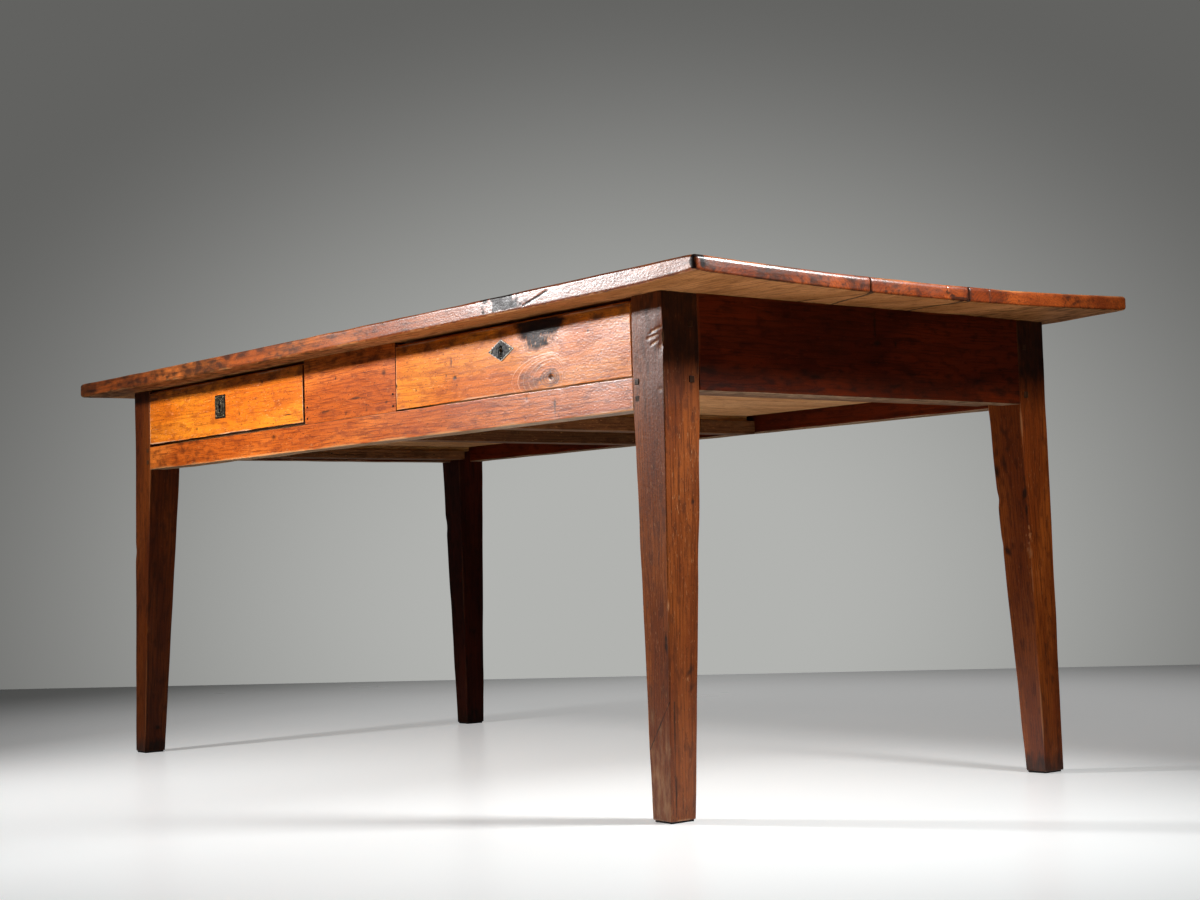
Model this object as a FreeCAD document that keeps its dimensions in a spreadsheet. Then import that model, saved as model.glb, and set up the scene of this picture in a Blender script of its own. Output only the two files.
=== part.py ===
import FreeCAD, Part
import os
import re
import Sketcher

# A farmhouse dining table with two deep drawers in its long front side.
# Three boards make the top. Four tapered legs, four rails and a fixed centre panel make the
# frame, joined by pegged mortises and tenons. The drawers are dovetailed boxes on wooden
# runners, each with an iron lock that throws a bolt up into the underside of the top.
# The origin is on the floor under the middle of the top. +X runs to the right-hand end,
# the drawer fronts face -Y and +Z is up. All lengths are in millimetres.

doc = FreeCAD.newDocument("FarmhouseTable")

DRIVING_SIZES = {
    # The top and how far it hangs over the frame on each side
    "table_height": 765,
    "top_length": 1963,
    "top_width": 923,
    "top_thickness": 27,
    "front_board_width": 331,
    "middle_board_width": 210,
    "board_gap": 0.4,
    "left_overhang": 128,
    "right_overhang": 144,
    "front_overhang": 63,
    "rear_overhang": 33.5,
    "edge_dowel_diameter": 12,
    "edge_dowel_length": 60,
    "top_peg_diameter": 9,
    "top_peg_depth": 34,
    # The legs, with the small lean that each foot has taken over the years
    "leg_width": 68,
    "leg_depth": 66,
    "foot_width": 40,
    "foot_depth": 45,
    "front_left_lean_x": -1.8,
    "front_left_lean_y": -7.3,
    "front_right_lean_x": -10.3,
    "front_right_lean_y": -1.8,
    "rear_left_lean_x": -0.1,
    "rear_left_lean_y": 4.5,
    "rear_right_lean_x": 7,
    "rear_right_lean_y": -2.6,
    "foot_pad_thickness": 3,
    "foot_pad_inset": 2.5,
    # The rails, their tenons and the pegs that lock them
    "rail_thickness": 36,
    "plain_rail_height": 138,
    "front_rail_height": 46.5,
    "tenon_thickness": 12,
    "tenon_length": 44,
    "tenon_shoulder": 6,
    "tenon_haunch": 20,
    "front_tenon_shoulder": 3,
    "joint_clearance": 0.15,
    "frame_peg_diameter": 8.5,
    "frame_peg_length": 38,
    "frame_peg_proud": 1,
    "peg_clearance": 0.1,
    "end_peg_inset": 15,
    "long_peg_inset": 9.5,
    "low_peg_rise": 15.5,
    "high_peg_rise": 93.5,
    "front_low_peg_rise": 15.5,
    "front_high_peg_rise": 39.5,
    # The fixed panel between the drawers
    "panel_width": 302,
    "panel_centre_offset": -3,
    "panel_thickness": 22,
    "panel_tenon_width": 44,
    "panel_tenon_thickness": 9,
    "panel_tenon_length": 14,
    "panel_nail_inset": 9,
    # Runners that carry the drawers and guides that keep them straight
    "drawer_opening_height": 116,
    "runner_lap": 24,
    "inner_runner_height": 25,
    "outer_runner_height": 19,
    "inner_guide_width": 18.5,
    "guide_height": 40,
    "runner_stub_shoulder": 6,
    "runner_stub_height": 12,
    "runner_stub_length": 12,
    "stop_thickness": 12,
    "stop_width": 120,
    "stop_height": 44,
    "stop_rise": 24,
    "runner_nail_diameter": 3,
    "nail_bite": 14,
    # The drawer boxes
    "drawer_side_gap": 1.5,
    "left_drawer_centre_gap": 3,
    "drawer_gap_below": 4.5,
    "drawer_gap_above": 5,
    "slide_clearance": 0.3,
    "drawer_front_thickness": 22,
    "drawer_side_thickness": 14,
    "drawer_side_height": 98,
    "drawer_back_thickness": 13,
    "drawer_back_height": 78,
    "dovetail_length": 16,
    "bottom_thickness": 9,
    "bottom_rise": 9,
    "bottom_groove_depth": 5,
    "bottom_board_gap": 0.6,
    "bottom_nail_diameter": 2.2,
    "bottom_nail_length": 24,
    # The locks and the plates round their keyholes
    "left_keyhole_offset": -4.5,
    "left_keyhole_rise": 53.5,
    "right_keyhole_offset": -6,
    "right_keyhole_rise": 66.5,
    "keyhole_diameter": 7,
    "keyhole_slot_width": 3.4,
    "keyhole_slot_drop": 11,
    "lock_plate_width": 86,
    "lock_plate_thickness": 2,
    "lock_plate_margin": 8,
    "lock_case_width": 62,
    "lock_case_height": 72,
    "lock_case_depth": 13,
    "lock_nail_diameter": 3,
    "lock_nail_length": 12,
    "bolt_width": 24,
    "bolt_thickness": 6,
    "bolt_length": 28,
    "bolt_setback": 0.5,
    "bolt_clearance": 0.4,
    "bolt_mortise_clearance": 1.5,
    "bolt_mortise_depth": 9,
    "left_plate_width": 40,
    "left_plate_height": 44.5,
    "right_plate_width": 68,
    "right_plate_height": 34,
    "key_plate_thickness": 1.6,
    "left_plate_nail_inset": 5,
    "right_plate_nail_inset": 9,
    "plate_nail_head_diameter": 4,
    "plate_nail_head_height": 1.2,
    "plate_nail_diameter": 1.8,
    "plate_nail_length": 9,
    # One overrun takes every through cut clear of its board
    "overrun": 2,
}

# Places worked out from the driving sizes, each used by the pieces that meet there
DERIVED_PLACES = {
    "frame_left": "left_overhang - top_length / 2",
    "frame_right": "top_length / 2 - right_overhang",
    "frame_front": "front_overhang - top_width / 2",
    "frame_rear": "top_width / 2 - rear_overhang",
    "frame_top": "table_height - top_thickness",
    "left_leg_inside": "frame_left + leg_width",
    "right_leg_inside": "frame_right - leg_width",
    "front_leg_inside": "frame_front + leg_depth",
    "rear_leg_inside": "frame_rear - leg_depth",
    "clear_length": "right_leg_inside - left_leg_inside",
    "clear_depth": "rear_leg_inside - front_leg_inside",
    "plain_rail_bottom": "frame_top - plain_rail_height",
    "front_rail_top": "frame_top - drawer_opening_height",
    "front_rail_bottom": "front_rail_top - front_rail_height",
    "front_rail_inside": "frame_front + rail_thickness",
    "rear_rail_inside": "frame_rear - rail_thickness",
    "plain_tenon_height": "plain_rail_height - tenon_shoulder - tenon_haunch",
    "front_tenon_height": "front_rail_height - front_tenon_shoulder",
    "front_board_front": "-top_width / 2",
    "middle_board_front": "front_board_width - top_width / 2",
    "rear_board_front": "middle_board_front + middle_board_width",
    "rear_board_width": "top_width - front_board_width - middle_board_width",
    "panel_left": "panel_centre_offset - panel_width / 2",
    "panel_right": "panel_centre_offset + panel_width / 2",
    "inner_runner_width": "inner_guide_width + runner_lap",
    "outer_runner_width": "leg_width - rail_thickness + runner_lap",
    "outer_guide_width": "leg_width - rail_thickness",
    "runner_length": "rear_rail_inside - front_rail_inside",
    "left_drawer_left": "left_leg_inside + drawer_side_gap",
    "left_drawer_width": "panel_left - left_drawer_centre_gap - left_drawer_left",
    "right_drawer_left": "panel_right + drawer_side_gap",
    "right_drawer_width": "right_leg_inside - drawer_side_gap - right_drawer_left",
    "drawer_floor": "front_rail_top + slide_clearance",
    "front_lift": "drawer_gap_below - slide_clearance",
    "drawer_front_height": "drawer_opening_height - drawer_gap_below - drawer_gap_above",
    "drawer_front_top": "front_lift + drawer_front_height",
    "back_bottom": "bottom_rise + bottom_thickness + joint_clearance",
    "drawer_depth": "rear_rail_inside - stop_thickness - slide_clearance - frame_front",
    "back_front": "drawer_depth - drawer_back_thickness",
    "lock_case_bottom": "drawer_front_top - lock_case_height",
    "lock_case_front": "drawer_front_thickness - lock_case_depth",
    "bolt_front": "lock_case_front + (lock_case_depth - bolt_thickness) / 2",
    "bolt_bottom": "drawer_front_top - bolt_setback - bolt_length",
}

# Hand-chosen shares: where fixings fall along the piece that carries them
TOP_PEG_SHARES = {"front_board": (0.18, 0.8), "middle_board": (0.25, 0.75), "rear_board": (0.27, 0.81)}
EDGE_DOWEL_SHARES = (0.08, 0.29, 0.5, 0.71, 0.92)
PANEL_TENON_SHARES = (0.22, 0.78)
PANEL_NAIL_SHARES = (0.25, 0.75)
RUNNER_NAIL_SHARES = (0.12, 0.5, 0.88)
BOTTOM_JOINT_SHARES = (0.0, 0.37, 0.7, 1.0)
BOTTOM_NAIL_SHARES = (0.22, 0.78)
DOVETAIL_COUNT = 3
DOVETAIL_ROOT_SHARE = 0.52
DOVETAIL_TIP_SHARE = 0.68

OWNING_SHEET = {}
SUBPARTS = []


def expression(text):
    """Return text with every named size or place prefixed by the sheet that holds it."""
    def owned(found):
        return OWNING_SHEET.get(found.group(), "") + found.group()

    return re.sub(r"[a-z][a-z_]+", owned, text)


def fill_sheet(sheet, cells, as_formula):
    """Write one name and one value to each row of a sheet and give the value its name as alias."""
    for row, (name, value) in enumerate(cells.items(), start=1):
        OWNING_SHEET[name] = sheet.Name + "."
        sheet.set(f"A{row}", name)
        sheet.set(f"B{row}", "=" + expression(value) if as_formula else str(value))
        sheet.setAlias(f"B{row}", name)
    doc.recompute()


fill_sheet(doc.addObject("Spreadsheet::Sheet", "Sizes"), DRIVING_SIZES, as_formula=False)
fill_sheet(doc.addObject("Spreadsheet::Sheet", "Places"), DERIVED_PLACES, as_formula=True)


def value_of(text):
    """The present number of an expression in named sizes."""
    return float(doc.Sizes.evalExpression(expression(text)))


def bind(item, prop, text):
    """Bind one property of an object to an expression in named sizes."""
    item.setExpression(prop, expression(text))


def place(item, corner):
    """Bind an object's placement to three expressions."""
    for axis, text in zip("xyz", corner):
        bind(item, f"Placement.Base.{axis}", text)


def new_body(label, corner):
    """Start one sub-part as a body whose own origin lies at the given corner."""
    body = doc.addObject("PartDesign::Body", label)
    body.Label = label
    place(body, corner)
    SUBPARTS.append(body)
    return body


# Each origin plane: the sign of its normal along the axis that it faces
NORMAL_SIGN = {"XY_Plane": 1, "XZ_Plane": -1, "YZ_Plane": 1}


def new_sketch(body, plane, level):
    """An empty sketch on one of the body's origin planes, moved along the plane's axis to level."""
    sketch = body.newObject("Sketcher::SketchObject", "Sketch")
    support = next(item for item in body.Origin.OriginFeatures if item.Role == plane)
    sketch.AttachmentSupport = [(support, "")]
    sketch.MapMode = "FlatFace"
    bind(sketch, "AttachmentOffset.Base.z", f"{NORMAL_SIGN[plane]} * ({level})")
    return sketch


def pin_point(sketch, geometry, point, across, up):
    """Tie one sketch point to the sketch origin by two bound distances."""
    for kind, text in (("DistanceX", across), ("DistanceY", up)):
        index = sketch.addConstraint(Sketcher.Constraint(kind, -1, 1, geometry, point, value_of(text)))
        bind(sketch, f"Constraints[{index}]", text)


def draw(body, plane, loops, level="0"):
    """Sketch closed straight-sided outlines, each a list of (across, up) expressions."""
    sketch = new_sketch(body, plane, level)
    for loop in loops:
        corners = [FreeCAD.Vector(value_of(across), value_of(up), 0) for across, up in loop]
        first = sketch.GeometryCount
        ends = corners[1:] + corners[:1]
        sketch.addGeometry([Part.LineSegment(start, end) for start, end in zip(corners, ends)], False)
        for step, (across, up) in enumerate(loop):
            following = first + (step + 1) % len(loop)
            sketch.addConstraint(Sketcher.Constraint("Coincident", first + step, 2, following, 1))
            pin_point(sketch, first + step, 1, across, up)
    return sketch


def draw_circles(body, plane, centres, diameter, level="0"):
    """Sketch equal circles at the given (across, up) expressions."""
    sketch = new_sketch(body, plane, level)
    for across, up in centres:
        middle = FreeCAD.Vector(value_of(across), value_of(up), 0)
        upright = FreeCAD.Vector(0, 0, 1)
        circle = sketch.addGeometry(Part.Circle(middle, upright, value_of(diameter) / 2), False)
        pin_point(sketch, circle, 3, across, up)
        index = sketch.addConstraint(Sketcher.Constraint("Diameter", circle, value_of(diameter)))
        bind(sketch, f"Constraints[{index}]", diameter)
    return sketch


def rectangle(left, low, right, high):
    """The four corners of an upright rectangle."""
    return [(left, low), (right, low), (right, high), (left, high)]


def facing(sketch, towards):
    """Whether growth towards + or - of the plane's axis follows the sketch's normal."""
    support = sketch.AttachmentSupport[0][0]
    return towards == NORMAL_SIGN[support.Role]


def grow(body, sketch, length, towards=1):
    """Pad a sketch towards + or - of its plane's axis."""
    pad = body.newObject("PartDesign::Pad", "Pad")
    pad.Profile = sketch
    bind(pad, "Length", length)
    pad.Reversed = not facing(sketch, towards)
    body.Tip = pad


def cut(body, sketch, depth, towards):
    """Pocket a sketch towards + or - of its plane's axis."""
    pocket = body.newObject("PartDesign::Pocket", "Pocket")
    pocket.Profile = sketch
    bind(pocket, "Length", depth)
    pocket.Reversed = facing(sketch, towards)
    body.Tip = pocket


def board(label, corner, length, depth, height):
    """A plain rectangular board with its own origin at its low corner."""
    body = new_body(label, corner)
    grow(body, draw(body, "XY_Plane", [rectangle("0", "0", length, depth)]), height)
    return body


TURN_TO_AXIS = {
    "+x": FreeCAD.Rotation(FreeCAD.Vector(0, 1, 0), 90),
    "-x": FreeCAD.Rotation(FreeCAD.Vector(0, 1, 0), -90),
    "+y": FreeCAD.Rotation(FreeCAD.Vector(1, 0, 0), -90),
    "-y": FreeCAD.Rotation(FreeCAD.Vector(1, 0, 0), 90),
    "+z": FreeCAD.Rotation(),
}


def rod(start, axis, diameter, length):
    """A round rod from start along axis: a peg, a dowel or a nail's shank."""
    cylinder = doc.addObject("Part::Cylinder", "Rod")
    cylinder.Placement = FreeCAD.Placement(FreeCAD.Vector(), TURN_TO_AXIS[axis])
    place(cylinder, start)
    bind(cylinder, "Radius", f"({diameter}) / 2")
    bind(cylinder, "Height", length)
    return cylinder


def headed_nail(seat, axis, head, diameter, length, head_height):
    """A nail driven along axis, with a domed head that sits on its seat."""
    shank = rod(seat, axis, diameter, length)
    cone = doc.addObject("Part::Cone", "NailHead")
    opposite = {"+": "-", "-": "+"}[axis[0]] + axis[1]
    cone.Placement = FreeCAD.Placement(FreeCAD.Vector(), TURN_TO_AXIS[opposite])
    place(cone, seat)
    bind(cone, "Radius1", f"({head}) / 2")
    bind(cone, "Radius2", f"({diameter}) / 2")
    bind(cone, "Height", head_height)
    nail = doc.addObject("Part::Fuse", "Nail")
    nail.Base = shank
    nail.Tool = cone
    return nail


def group(label, pieces):
    """One sub-part made of several equal, separate pieces."""
    compound = doc.addObject("Part::Compound", label)
    compound.Label = label
    compound.Links = pieces
    SUBPARTS.append(compound)


def along(start, length, share):
    """The place that lies a share of length past start."""
    return f"{start} + {share} * ({length})"


# The four legs: straight beside the rails, tapered on their two inner faces below them

PEG_HOLE = "frame_peg_diameter + 2 * peg_clearance"
LEGS = {
    "front_left": ("frame_left", "frame_front", 1, 1),
    "front_right": ("frame_right", "frame_front", -1, 1),
    "rear_left": ("frame_left", "frame_rear", 1, -1),
    "rear_right": ("frame_right", "frame_rear", -1, -1),
}


def leg_section(inward_x, inward_y, width, depth, lean_x="0", lean_y="0", inset="0"):
    """A leg's cross-section, from its outer corner inwards."""
    near_x = f"{lean_x} + {inward_x} * ({inset})"
    near_y = f"{lean_y} + {inward_y} * ({inset})"
    far_x = f"{lean_x} + {inward_x} * ({width} - {inset})"
    far_y = f"{lean_y} + {inward_y} * ({depth} - {inset})"
    return rectangle(near_x, near_y, far_x, far_y)


def long_rail_joint(name):
    """Bottom of the long rail's tenon, its height, and its two peg heights, for one leg."""
    if name.startswith("front"):
        low, shoulder, height = "front_rail_bottom", "front_tenon_shoulder", "front_tenon_height"
        rises = ("front_low_peg_rise", "front_high_peg_rise")
    else:
        low, shoulder, height = "plain_rail_bottom", "tenon_shoulder", "plain_tenon_height"
        rises = ("low_peg_rise", "high_peg_rise")
    return f"{low} + {shoulder}", height, [f"{low} + {rise}" for rise in rises]


END_PEG_HEIGHTS = ["plain_rail_bottom + low_peg_rise", "plain_rail_bottom + high_peg_rise"]


def make_leg(name):
    """One leg with its two mortises and its peg holes."""
    corner_x, corner_y, inward_x, inward_y = LEGS[name]
    body = new_body(f"{name}_leg", (corner_x, corner_y, "0"))
    taper_top = "front_rail_bottom" if name.startswith("front") else "plain_rail_bottom"
    square = leg_section(inward_x, inward_y, "leg_width", "leg_depth")
    lean = (f"{name}_lean_x", f"{name}_lean_y")
    foot = leg_section(inward_x, inward_y, "foot_width", "foot_depth", *lean)
    grow(body, draw(body, "XY_Plane", [square], taper_top), f"frame_top - {taper_top}")
    taper = body.newObject("PartDesign::AdditiveLoft", "Taper")
    taper.Profile = draw(body, "XY_Plane", [foot], "foot_pad_thickness")
    taper.Sections = [draw(body, "XY_Plane", [square], taper_top)]
    taper.Ruled = True
    body.Tip = taper

    near = "(rail_thickness - tenon_thickness) / 2 - joint_clearance"
    far = "(rail_thickness + tenon_thickness) / 2 + joint_clearance"
    deep = "tenon_length + joint_clearance"
    low = "plain_rail_bottom + tenon_shoulder - joint_clearance"
    high = "plain_rail_bottom + tenon_shoulder + plain_tenon_height + joint_clearance"
    slot = rectangle(f"{inward_x} * ({near})", low, f"{inward_x} * ({far})", high)
    cut(body, draw(body, "XZ_Plane", [slot], f"{inward_y} * leg_depth"), deep, -inward_y)
    bottom, height, peg_heights = long_rail_joint(name)
    low = f"{bottom} - joint_clearance"
    high = f"{bottom} + {height} + joint_clearance"
    slot = rectangle(f"{inward_y} * ({near})", low, f"{inward_y} * ({far})", high)
    cut(body, draw(body, "YZ_Plane", [slot], f"{inward_x} * leg_width"), deep, -inward_x)

    hole_depth = "frame_peg_length - frame_peg_proud + peg_clearance"
    peg_y = f"{inward_y} * (leg_depth - end_peg_inset)"
    end_holes = [(peg_y, z) for z in END_PEG_HEIGHTS]
    cut(body, draw_circles(body, "YZ_Plane", end_holes, PEG_HOLE), hole_depth, inward_x)
    peg_x = f"{inward_x} * (leg_width - long_peg_inset)"
    long_holes = [(peg_x, z) for z in peg_heights]
    cut(body, draw_circles(body, "XZ_Plane", long_holes, PEG_HOLE), hole_depth, inward_y)


def make_foot_pad(name):
    """The thin pad under one foot, a little smaller than the foot."""
    corner_x, corner_y, inward_x, inward_y = LEGS[name]
    body = new_body(f"{name}_foot_pad", (corner_x, corner_y, "0"))
    lean = (f"{name}_lean_x", f"{name}_lean_y")
    outline = leg_section(inward_x, inward_y, "foot_width", "foot_depth", *lean, "foot_pad_inset")
    grow(body, draw(body, "XY_Plane", [outline]), "foot_pad_thickness")


def make_frame_pegs():
    """Two pegs through each of the eight rail joints, standing a little proud of the legs."""
    pegs = []
    for name, (corner_x, corner_y, inward_x, inward_y) in LEGS.items():
        x_axis = "+x" if inward_x > 0 else "-x"
        y_axis = "+y" if inward_y > 0 else "-y"
        out_x = f"{corner_x} - {inward_x} * frame_peg_proud"
        out_y = f"{corner_y} - {inward_y} * frame_peg_proud"
        peg_y = f"{corner_y} + {inward_y} * (leg_depth - end_peg_inset)"
        peg_x = f"{corner_x} + {inward_x} * (leg_width - long_peg_inset)"
        for z in END_PEG_HEIGHTS:
            pegs.append(rod((out_x, peg_y, z), x_axis, "frame_peg_diameter", "frame_peg_length"))
        for z in long_rail_joint(name)[2]:
            pegs.append(rod((peg_x, out_y, z), y_axis, "frame_peg_diameter", "frame_peg_length"))
    group("frame_pegs", pegs)


for leg_name in LEGS:
    make_leg(leg_name)
    make_foot_pad(leg_name)
make_frame_pegs()


# The rails: each a board with a tenon bar running through it from end to end

TENON_NEAR = "(rail_thickness - tenon_thickness) / 2"
TENON_FAR = "(rail_thickness + tenon_thickness) / 2"
TOP_PEG_HOLE = "top_peg_diameter + 2 * peg_clearance"
TOP_BOARDS = {
    "front_board": ("front_board_front", "front_board_width"),
    "middle_board": ("middle_board_front", "middle_board_width"),
    "rear_board": ("rear_board_front", "rear_board_width"),
}
# Each board's pegs stand between these two lines, clear of the legs
TOP_PEG_SPANS = {
    "front_board": ("front_leg_inside", "middle_board_front"),
    "middle_board": ("middle_board_front", "rear_board_front"),
    "rear_board": ("rear_board_front", "rear_leg_inside"),
}


def top_peg_places():
    """The (x, y) expressions of the pegs that hold the top boards to the end rails."""
    for x in ("frame_left + rail_thickness / 2", "frame_right - rail_thickness / 2"):
        for name, (start, end) in TOP_PEG_SPANS.items():
            for share in TOP_PEG_SHARES[name]:
                yield x, along(start, f"{end} - {start}", share), name


NAIL_HOLE = "runner_nail_diameter + 2 * peg_clearance"


def outer_nail_spots():
    """Places along an end rail, as (piece, y, z), where its runner and its guide are nailed to it."""
    heights = {"runner": "front_rail_top - outer_runner_height / 2",
               "guide": "front_rail_top + guide_height / 2"}
    return [(piece, along("front_leg_inside", "clear_depth", share), z)
            for share in RUNNER_NAIL_SHARES for piece, z in heights.items()]


def make_end_rail(label, outer_x, inner_face, outward):
    """A rail across one end, between a front and a rear leg."""
    body = board(label, (outer_x, "front_leg_inside", "plain_rail_bottom"), "rail_thickness",
                 "clear_depth", "plain_rail_height")
    tenons = rectangle(TENON_NEAR, "-tenon_length", TENON_FAR, "clear_depth + tenon_length")
    grow(body, draw(body, "XY_Plane", [tenons], "tenon_shoulder"), "plain_tenon_height")
    holes = [(y, z) for y in ("-end_peg_inset", "clear_depth + end_peg_inset")
             for z in ("low_peg_rise", "high_peg_rise")]
    cut(body, draw_circles(body, "YZ_Plane", holes, PEG_HOLE), "rail_thickness", 1)
    top_holes = [("rail_thickness / 2", f"{y} - front_leg_inside") for x, y, name in top_peg_places()
                 if x.startswith("frame_left")]
    cut(body, draw_circles(body, "XY_Plane", top_holes, TOP_PEG_HOLE, "plain_rail_height"),
        "top_peg_depth + peg_clearance", -1)
    nail_holes = [(f"{y} - front_leg_inside", f"{z} - plain_rail_bottom")
                  for piece, y, z in outer_nail_spots()]
    cut(body, draw_circles(body, "YZ_Plane", nail_holes, NAIL_HOLE, inner_face),
        "nail_bite + peg_clearance", outward)


def make_long_rail(label, outer_y, low, height, shoulder, tenon_height, rises):
    """A rail along one long side, between a left and a right leg."""
    body = board(label, ("left_leg_inside", outer_y, low), "clear_length", "rail_thickness", height)
    tenons = rectangle("-tenon_length", TENON_NEAR, "clear_length + tenon_length", TENON_FAR)
    grow(body, draw(body, "XY_Plane", [tenons], shoulder), tenon_height)
    holes = [(x, z) for x in ("-long_peg_inset", "clear_length + long_peg_inset") for z in rises]
    cut(body, draw_circles(body, "XZ_Plane", holes, PEG_HOLE), "rail_thickness", 1)
    return body


INNER_RUNNERS = {
    "left": "panel_left - runner_lap",
    "right": "panel_right - inner_guide_width",
}


def runner_stub_slots(low):
    """The slots in a long rail that take the inner runners' stub tenons."""
    bottom = f"front_rail_top - inner_runner_height + runner_stub_shoulder - {low}"
    for start in INNER_RUNNERS.values():
        left = f"{start} - left_leg_inside - joint_clearance"
        right = f"{start} - left_leg_inside + inner_runner_width + joint_clearance"
        yield rectangle(left, f"{bottom} - joint_clearance", right,
                        f"{bottom} + runner_stub_height + joint_clearance")


STUB_SLOT_DEPTH = "runner_stub_length + joint_clearance"
make_end_rail("left_end_rail", "frame_left", "rail_thickness", -1)
make_end_rail("right_end_rail", "frame_right - rail_thickness", "0", 1)
rear_rail = make_long_rail("rear_rail", "rear_rail_inside", "plain_rail_bottom", "plain_rail_height",
                           "tenon_shoulder", "plain_tenon_height", ("low_peg_rise", "high_peg_rise"))
rear_slots = list(runner_stub_slots("plain_rail_bottom"))
cut(rear_rail, draw(rear_rail, "XZ_Plane", rear_slots), STUB_SLOT_DEPTH, 1)
front_rail = make_long_rail("front_lower_rail", "frame_front", "front_rail_bottom", "front_rail_height",
                            "front_tenon_shoulder", "front_tenon_height",
                            ("front_low_peg_rise", "front_high_peg_rise"))
front_slots = list(runner_stub_slots("front_rail_bottom"))
cut(front_rail, draw(front_rail, "XZ_Plane", front_slots, "rail_thickness"), STUB_SLOT_DEPTH, -1)


# The fixed centre panel stands on the front rail and reaches the top, with stub tenons in both

PANEL_TENON_NEAR = "(panel_thickness - panel_tenon_thickness) / 2"
PANEL_TENON_FAR = "(panel_thickness + panel_tenon_thickness) / 2"


def panel_tenon_loops(offset_x, clearance):
    """The outlines of the panel's tenons, or of their mortises when grown by a clearance."""
    for share in PANEL_TENON_SHARES:
        middle = f"{offset_x} + {share} * panel_width"
        half = f"(panel_tenon_width / 2 + {clearance})"
        yield rectangle(f"{middle} - {half}", f"{PANEL_TENON_NEAR} - {clearance}",
                        f"{middle} + {half}", f"{PANEL_TENON_FAR} + {clearance}")


panel = board("centre_panel", ("panel_left", "frame_front", "front_rail_top"), "panel_width",
              "panel_thickness", "drawer_opening_height")
grow(panel, draw(panel, "XY_Plane", list(panel_tenon_loops("0", "0")), "-panel_tenon_length"),
     "drawer_opening_height + 2 * panel_tenon_length")
PANEL_NAIL_X = ("panel_left + panel_nail_inset", "panel_right - panel_nail_inset")
panel_nail_spots = [(x, f"front_rail_top + {share} * guide_height") for x in PANEL_NAIL_X
                    for share in PANEL_NAIL_SHARES]
panel_holes = [(f"{x} - panel_left", f"{z} - front_rail_top") for x, z in panel_nail_spots]
cut(panel, draw_circles(panel, "XZ_Plane", panel_holes, NAIL_HOLE), "panel_thickness", 1)
mortises = list(panel_tenon_loops("panel_left - left_leg_inside", "joint_clearance"))
cut(front_rail, draw(front_rail, "XY_Plane", mortises, "front_rail_height"),
    "panel_tenon_length + joint_clearance", -1)
group("centre_panel_nails", [
    headed_nail((x, "frame_front", z), "+y", "plate_nail_head_diameter", "runner_nail_diameter",
                "panel_thickness + nail_bite", "plate_nail_head_height")
    for x, z in panel_nail_spots])


# Runners under both sides of each drawer, and guides that stand on them

def make_inner_runner(side):
    """A runner from front rail to rear rail, let into both."""
    body = board(f"{side}_inner_runner",
                 (INNER_RUNNERS[side], "front_rail_inside", "front_rail_top - inner_runner_height"),
                 "inner_runner_width", "runner_length", "inner_runner_height")
    stubs = rectangle("0", "-runner_stub_length", "inner_runner_width", "runner_length + runner_stub_length")
    grow(body, draw(body, "XY_Plane", [stubs], "runner_stub_shoulder"), "runner_stub_height")


def make_inner_guide(side, left):
    """A strip on the inner runner that keeps the drawer's side in line, nailed through the panel."""
    front = "frame_front + panel_thickness"
    body = board(f"{side}_inner_guide", (left, front, "front_rail_top"),
                 "inner_guide_width", f"rear_rail_inside - ({front})", "guide_height")
    nails = [(f"{x} - ({left})", f"{z} - front_rail_top") for x, z in panel_nail_spots
             if x.startswith(f"panel_{side}")]
    cut(body, draw_circles(body, "XZ_Plane", nails, NAIL_HOLE),
        "nail_bite + peg_clearance", 1)


# For each end: where its runner and its guide start, and where their inner faces stand
OUTER_RUNNERS = {
    "left": {"runner": ("left_leg_inside - outer_guide_width", "left_leg_inside + runner_lap"),
             "guide": ("left_leg_inside - outer_guide_width", "left_leg_inside")},
    "right": {"runner": ("right_leg_inside - runner_lap", "right_leg_inside - runner_lap"),
              "guide": ("right_leg_inside", "right_leg_inside")},
}
OUTER_SHAPES = {
    "runner": ("outer_runner_width", "outer_runner_height", "front_rail_top - outer_runner_height"),
    "guide": ("outer_guide_width", "guide_height", "front_rail_top"),
}


def make_outer_runner(side, piece):
    """The runner, or the guide on it, that is nailed along one end rail between the legs."""
    left, inner_face = OUTER_RUNNERS[side][piece]
    width, height, low = OUTER_SHAPES[piece]
    body = board(f"{side}_outer_{piece}", (left, "front_leg_inside", low), width, "clear_depth", height)
    holes = [(f"{y} - front_leg_inside", f"{z} - ({low})")
             for owner, y, z in outer_nail_spots() if owner == piece]
    outward = {"left": -1, "right": 1}[side]
    face = f"{inner_face} - ({left})"
    cut(body, draw_circles(body, "YZ_Plane", holes, NAIL_HOLE, face), width, outward)


def make_runner_nails():
    """Nails that hold the outer runners and guides to the end rails."""
    nails = []
    for side, axis in (("left", "-x"), ("right", "+x")):
        for piece, y, z in outer_nail_spots():
            length = f"{OUTER_SHAPES[piece][0]} + nail_bite"
            nails.append(rod((OUTER_RUNNERS[side][piece][1], y, z), axis, "runner_nail_diameter", length))
    group("runner_nails", nails)


for side_name in ("left", "right"):
    make_inner_runner(side_name)
    make_outer_runner(side_name, "runner")
    make_outer_runner(side_name, "guide")
make_inner_guide("left", "panel_left")
make_inner_guide("right", "panel_right - inner_guide_width")
make_runner_nails()


# The top: three boards, dowelled edge to edge and pegged down into the end rails

DRAWERS = ("left", "right")
DOWEL_HOLE = "edge_dowel_diameter + 2 * peg_clearance"
BOARD_EDGES = {"front_board": ("rear",), "middle_board": ("front", "rear"), "rear_board": ("front",)}


def keyhole_x(side):
    """Where a drawer's keyhole stands along the table."""
    return f"{side}_drawer_left + {side}_drawer_width / 2 + {side}_keyhole_offset"


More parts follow.
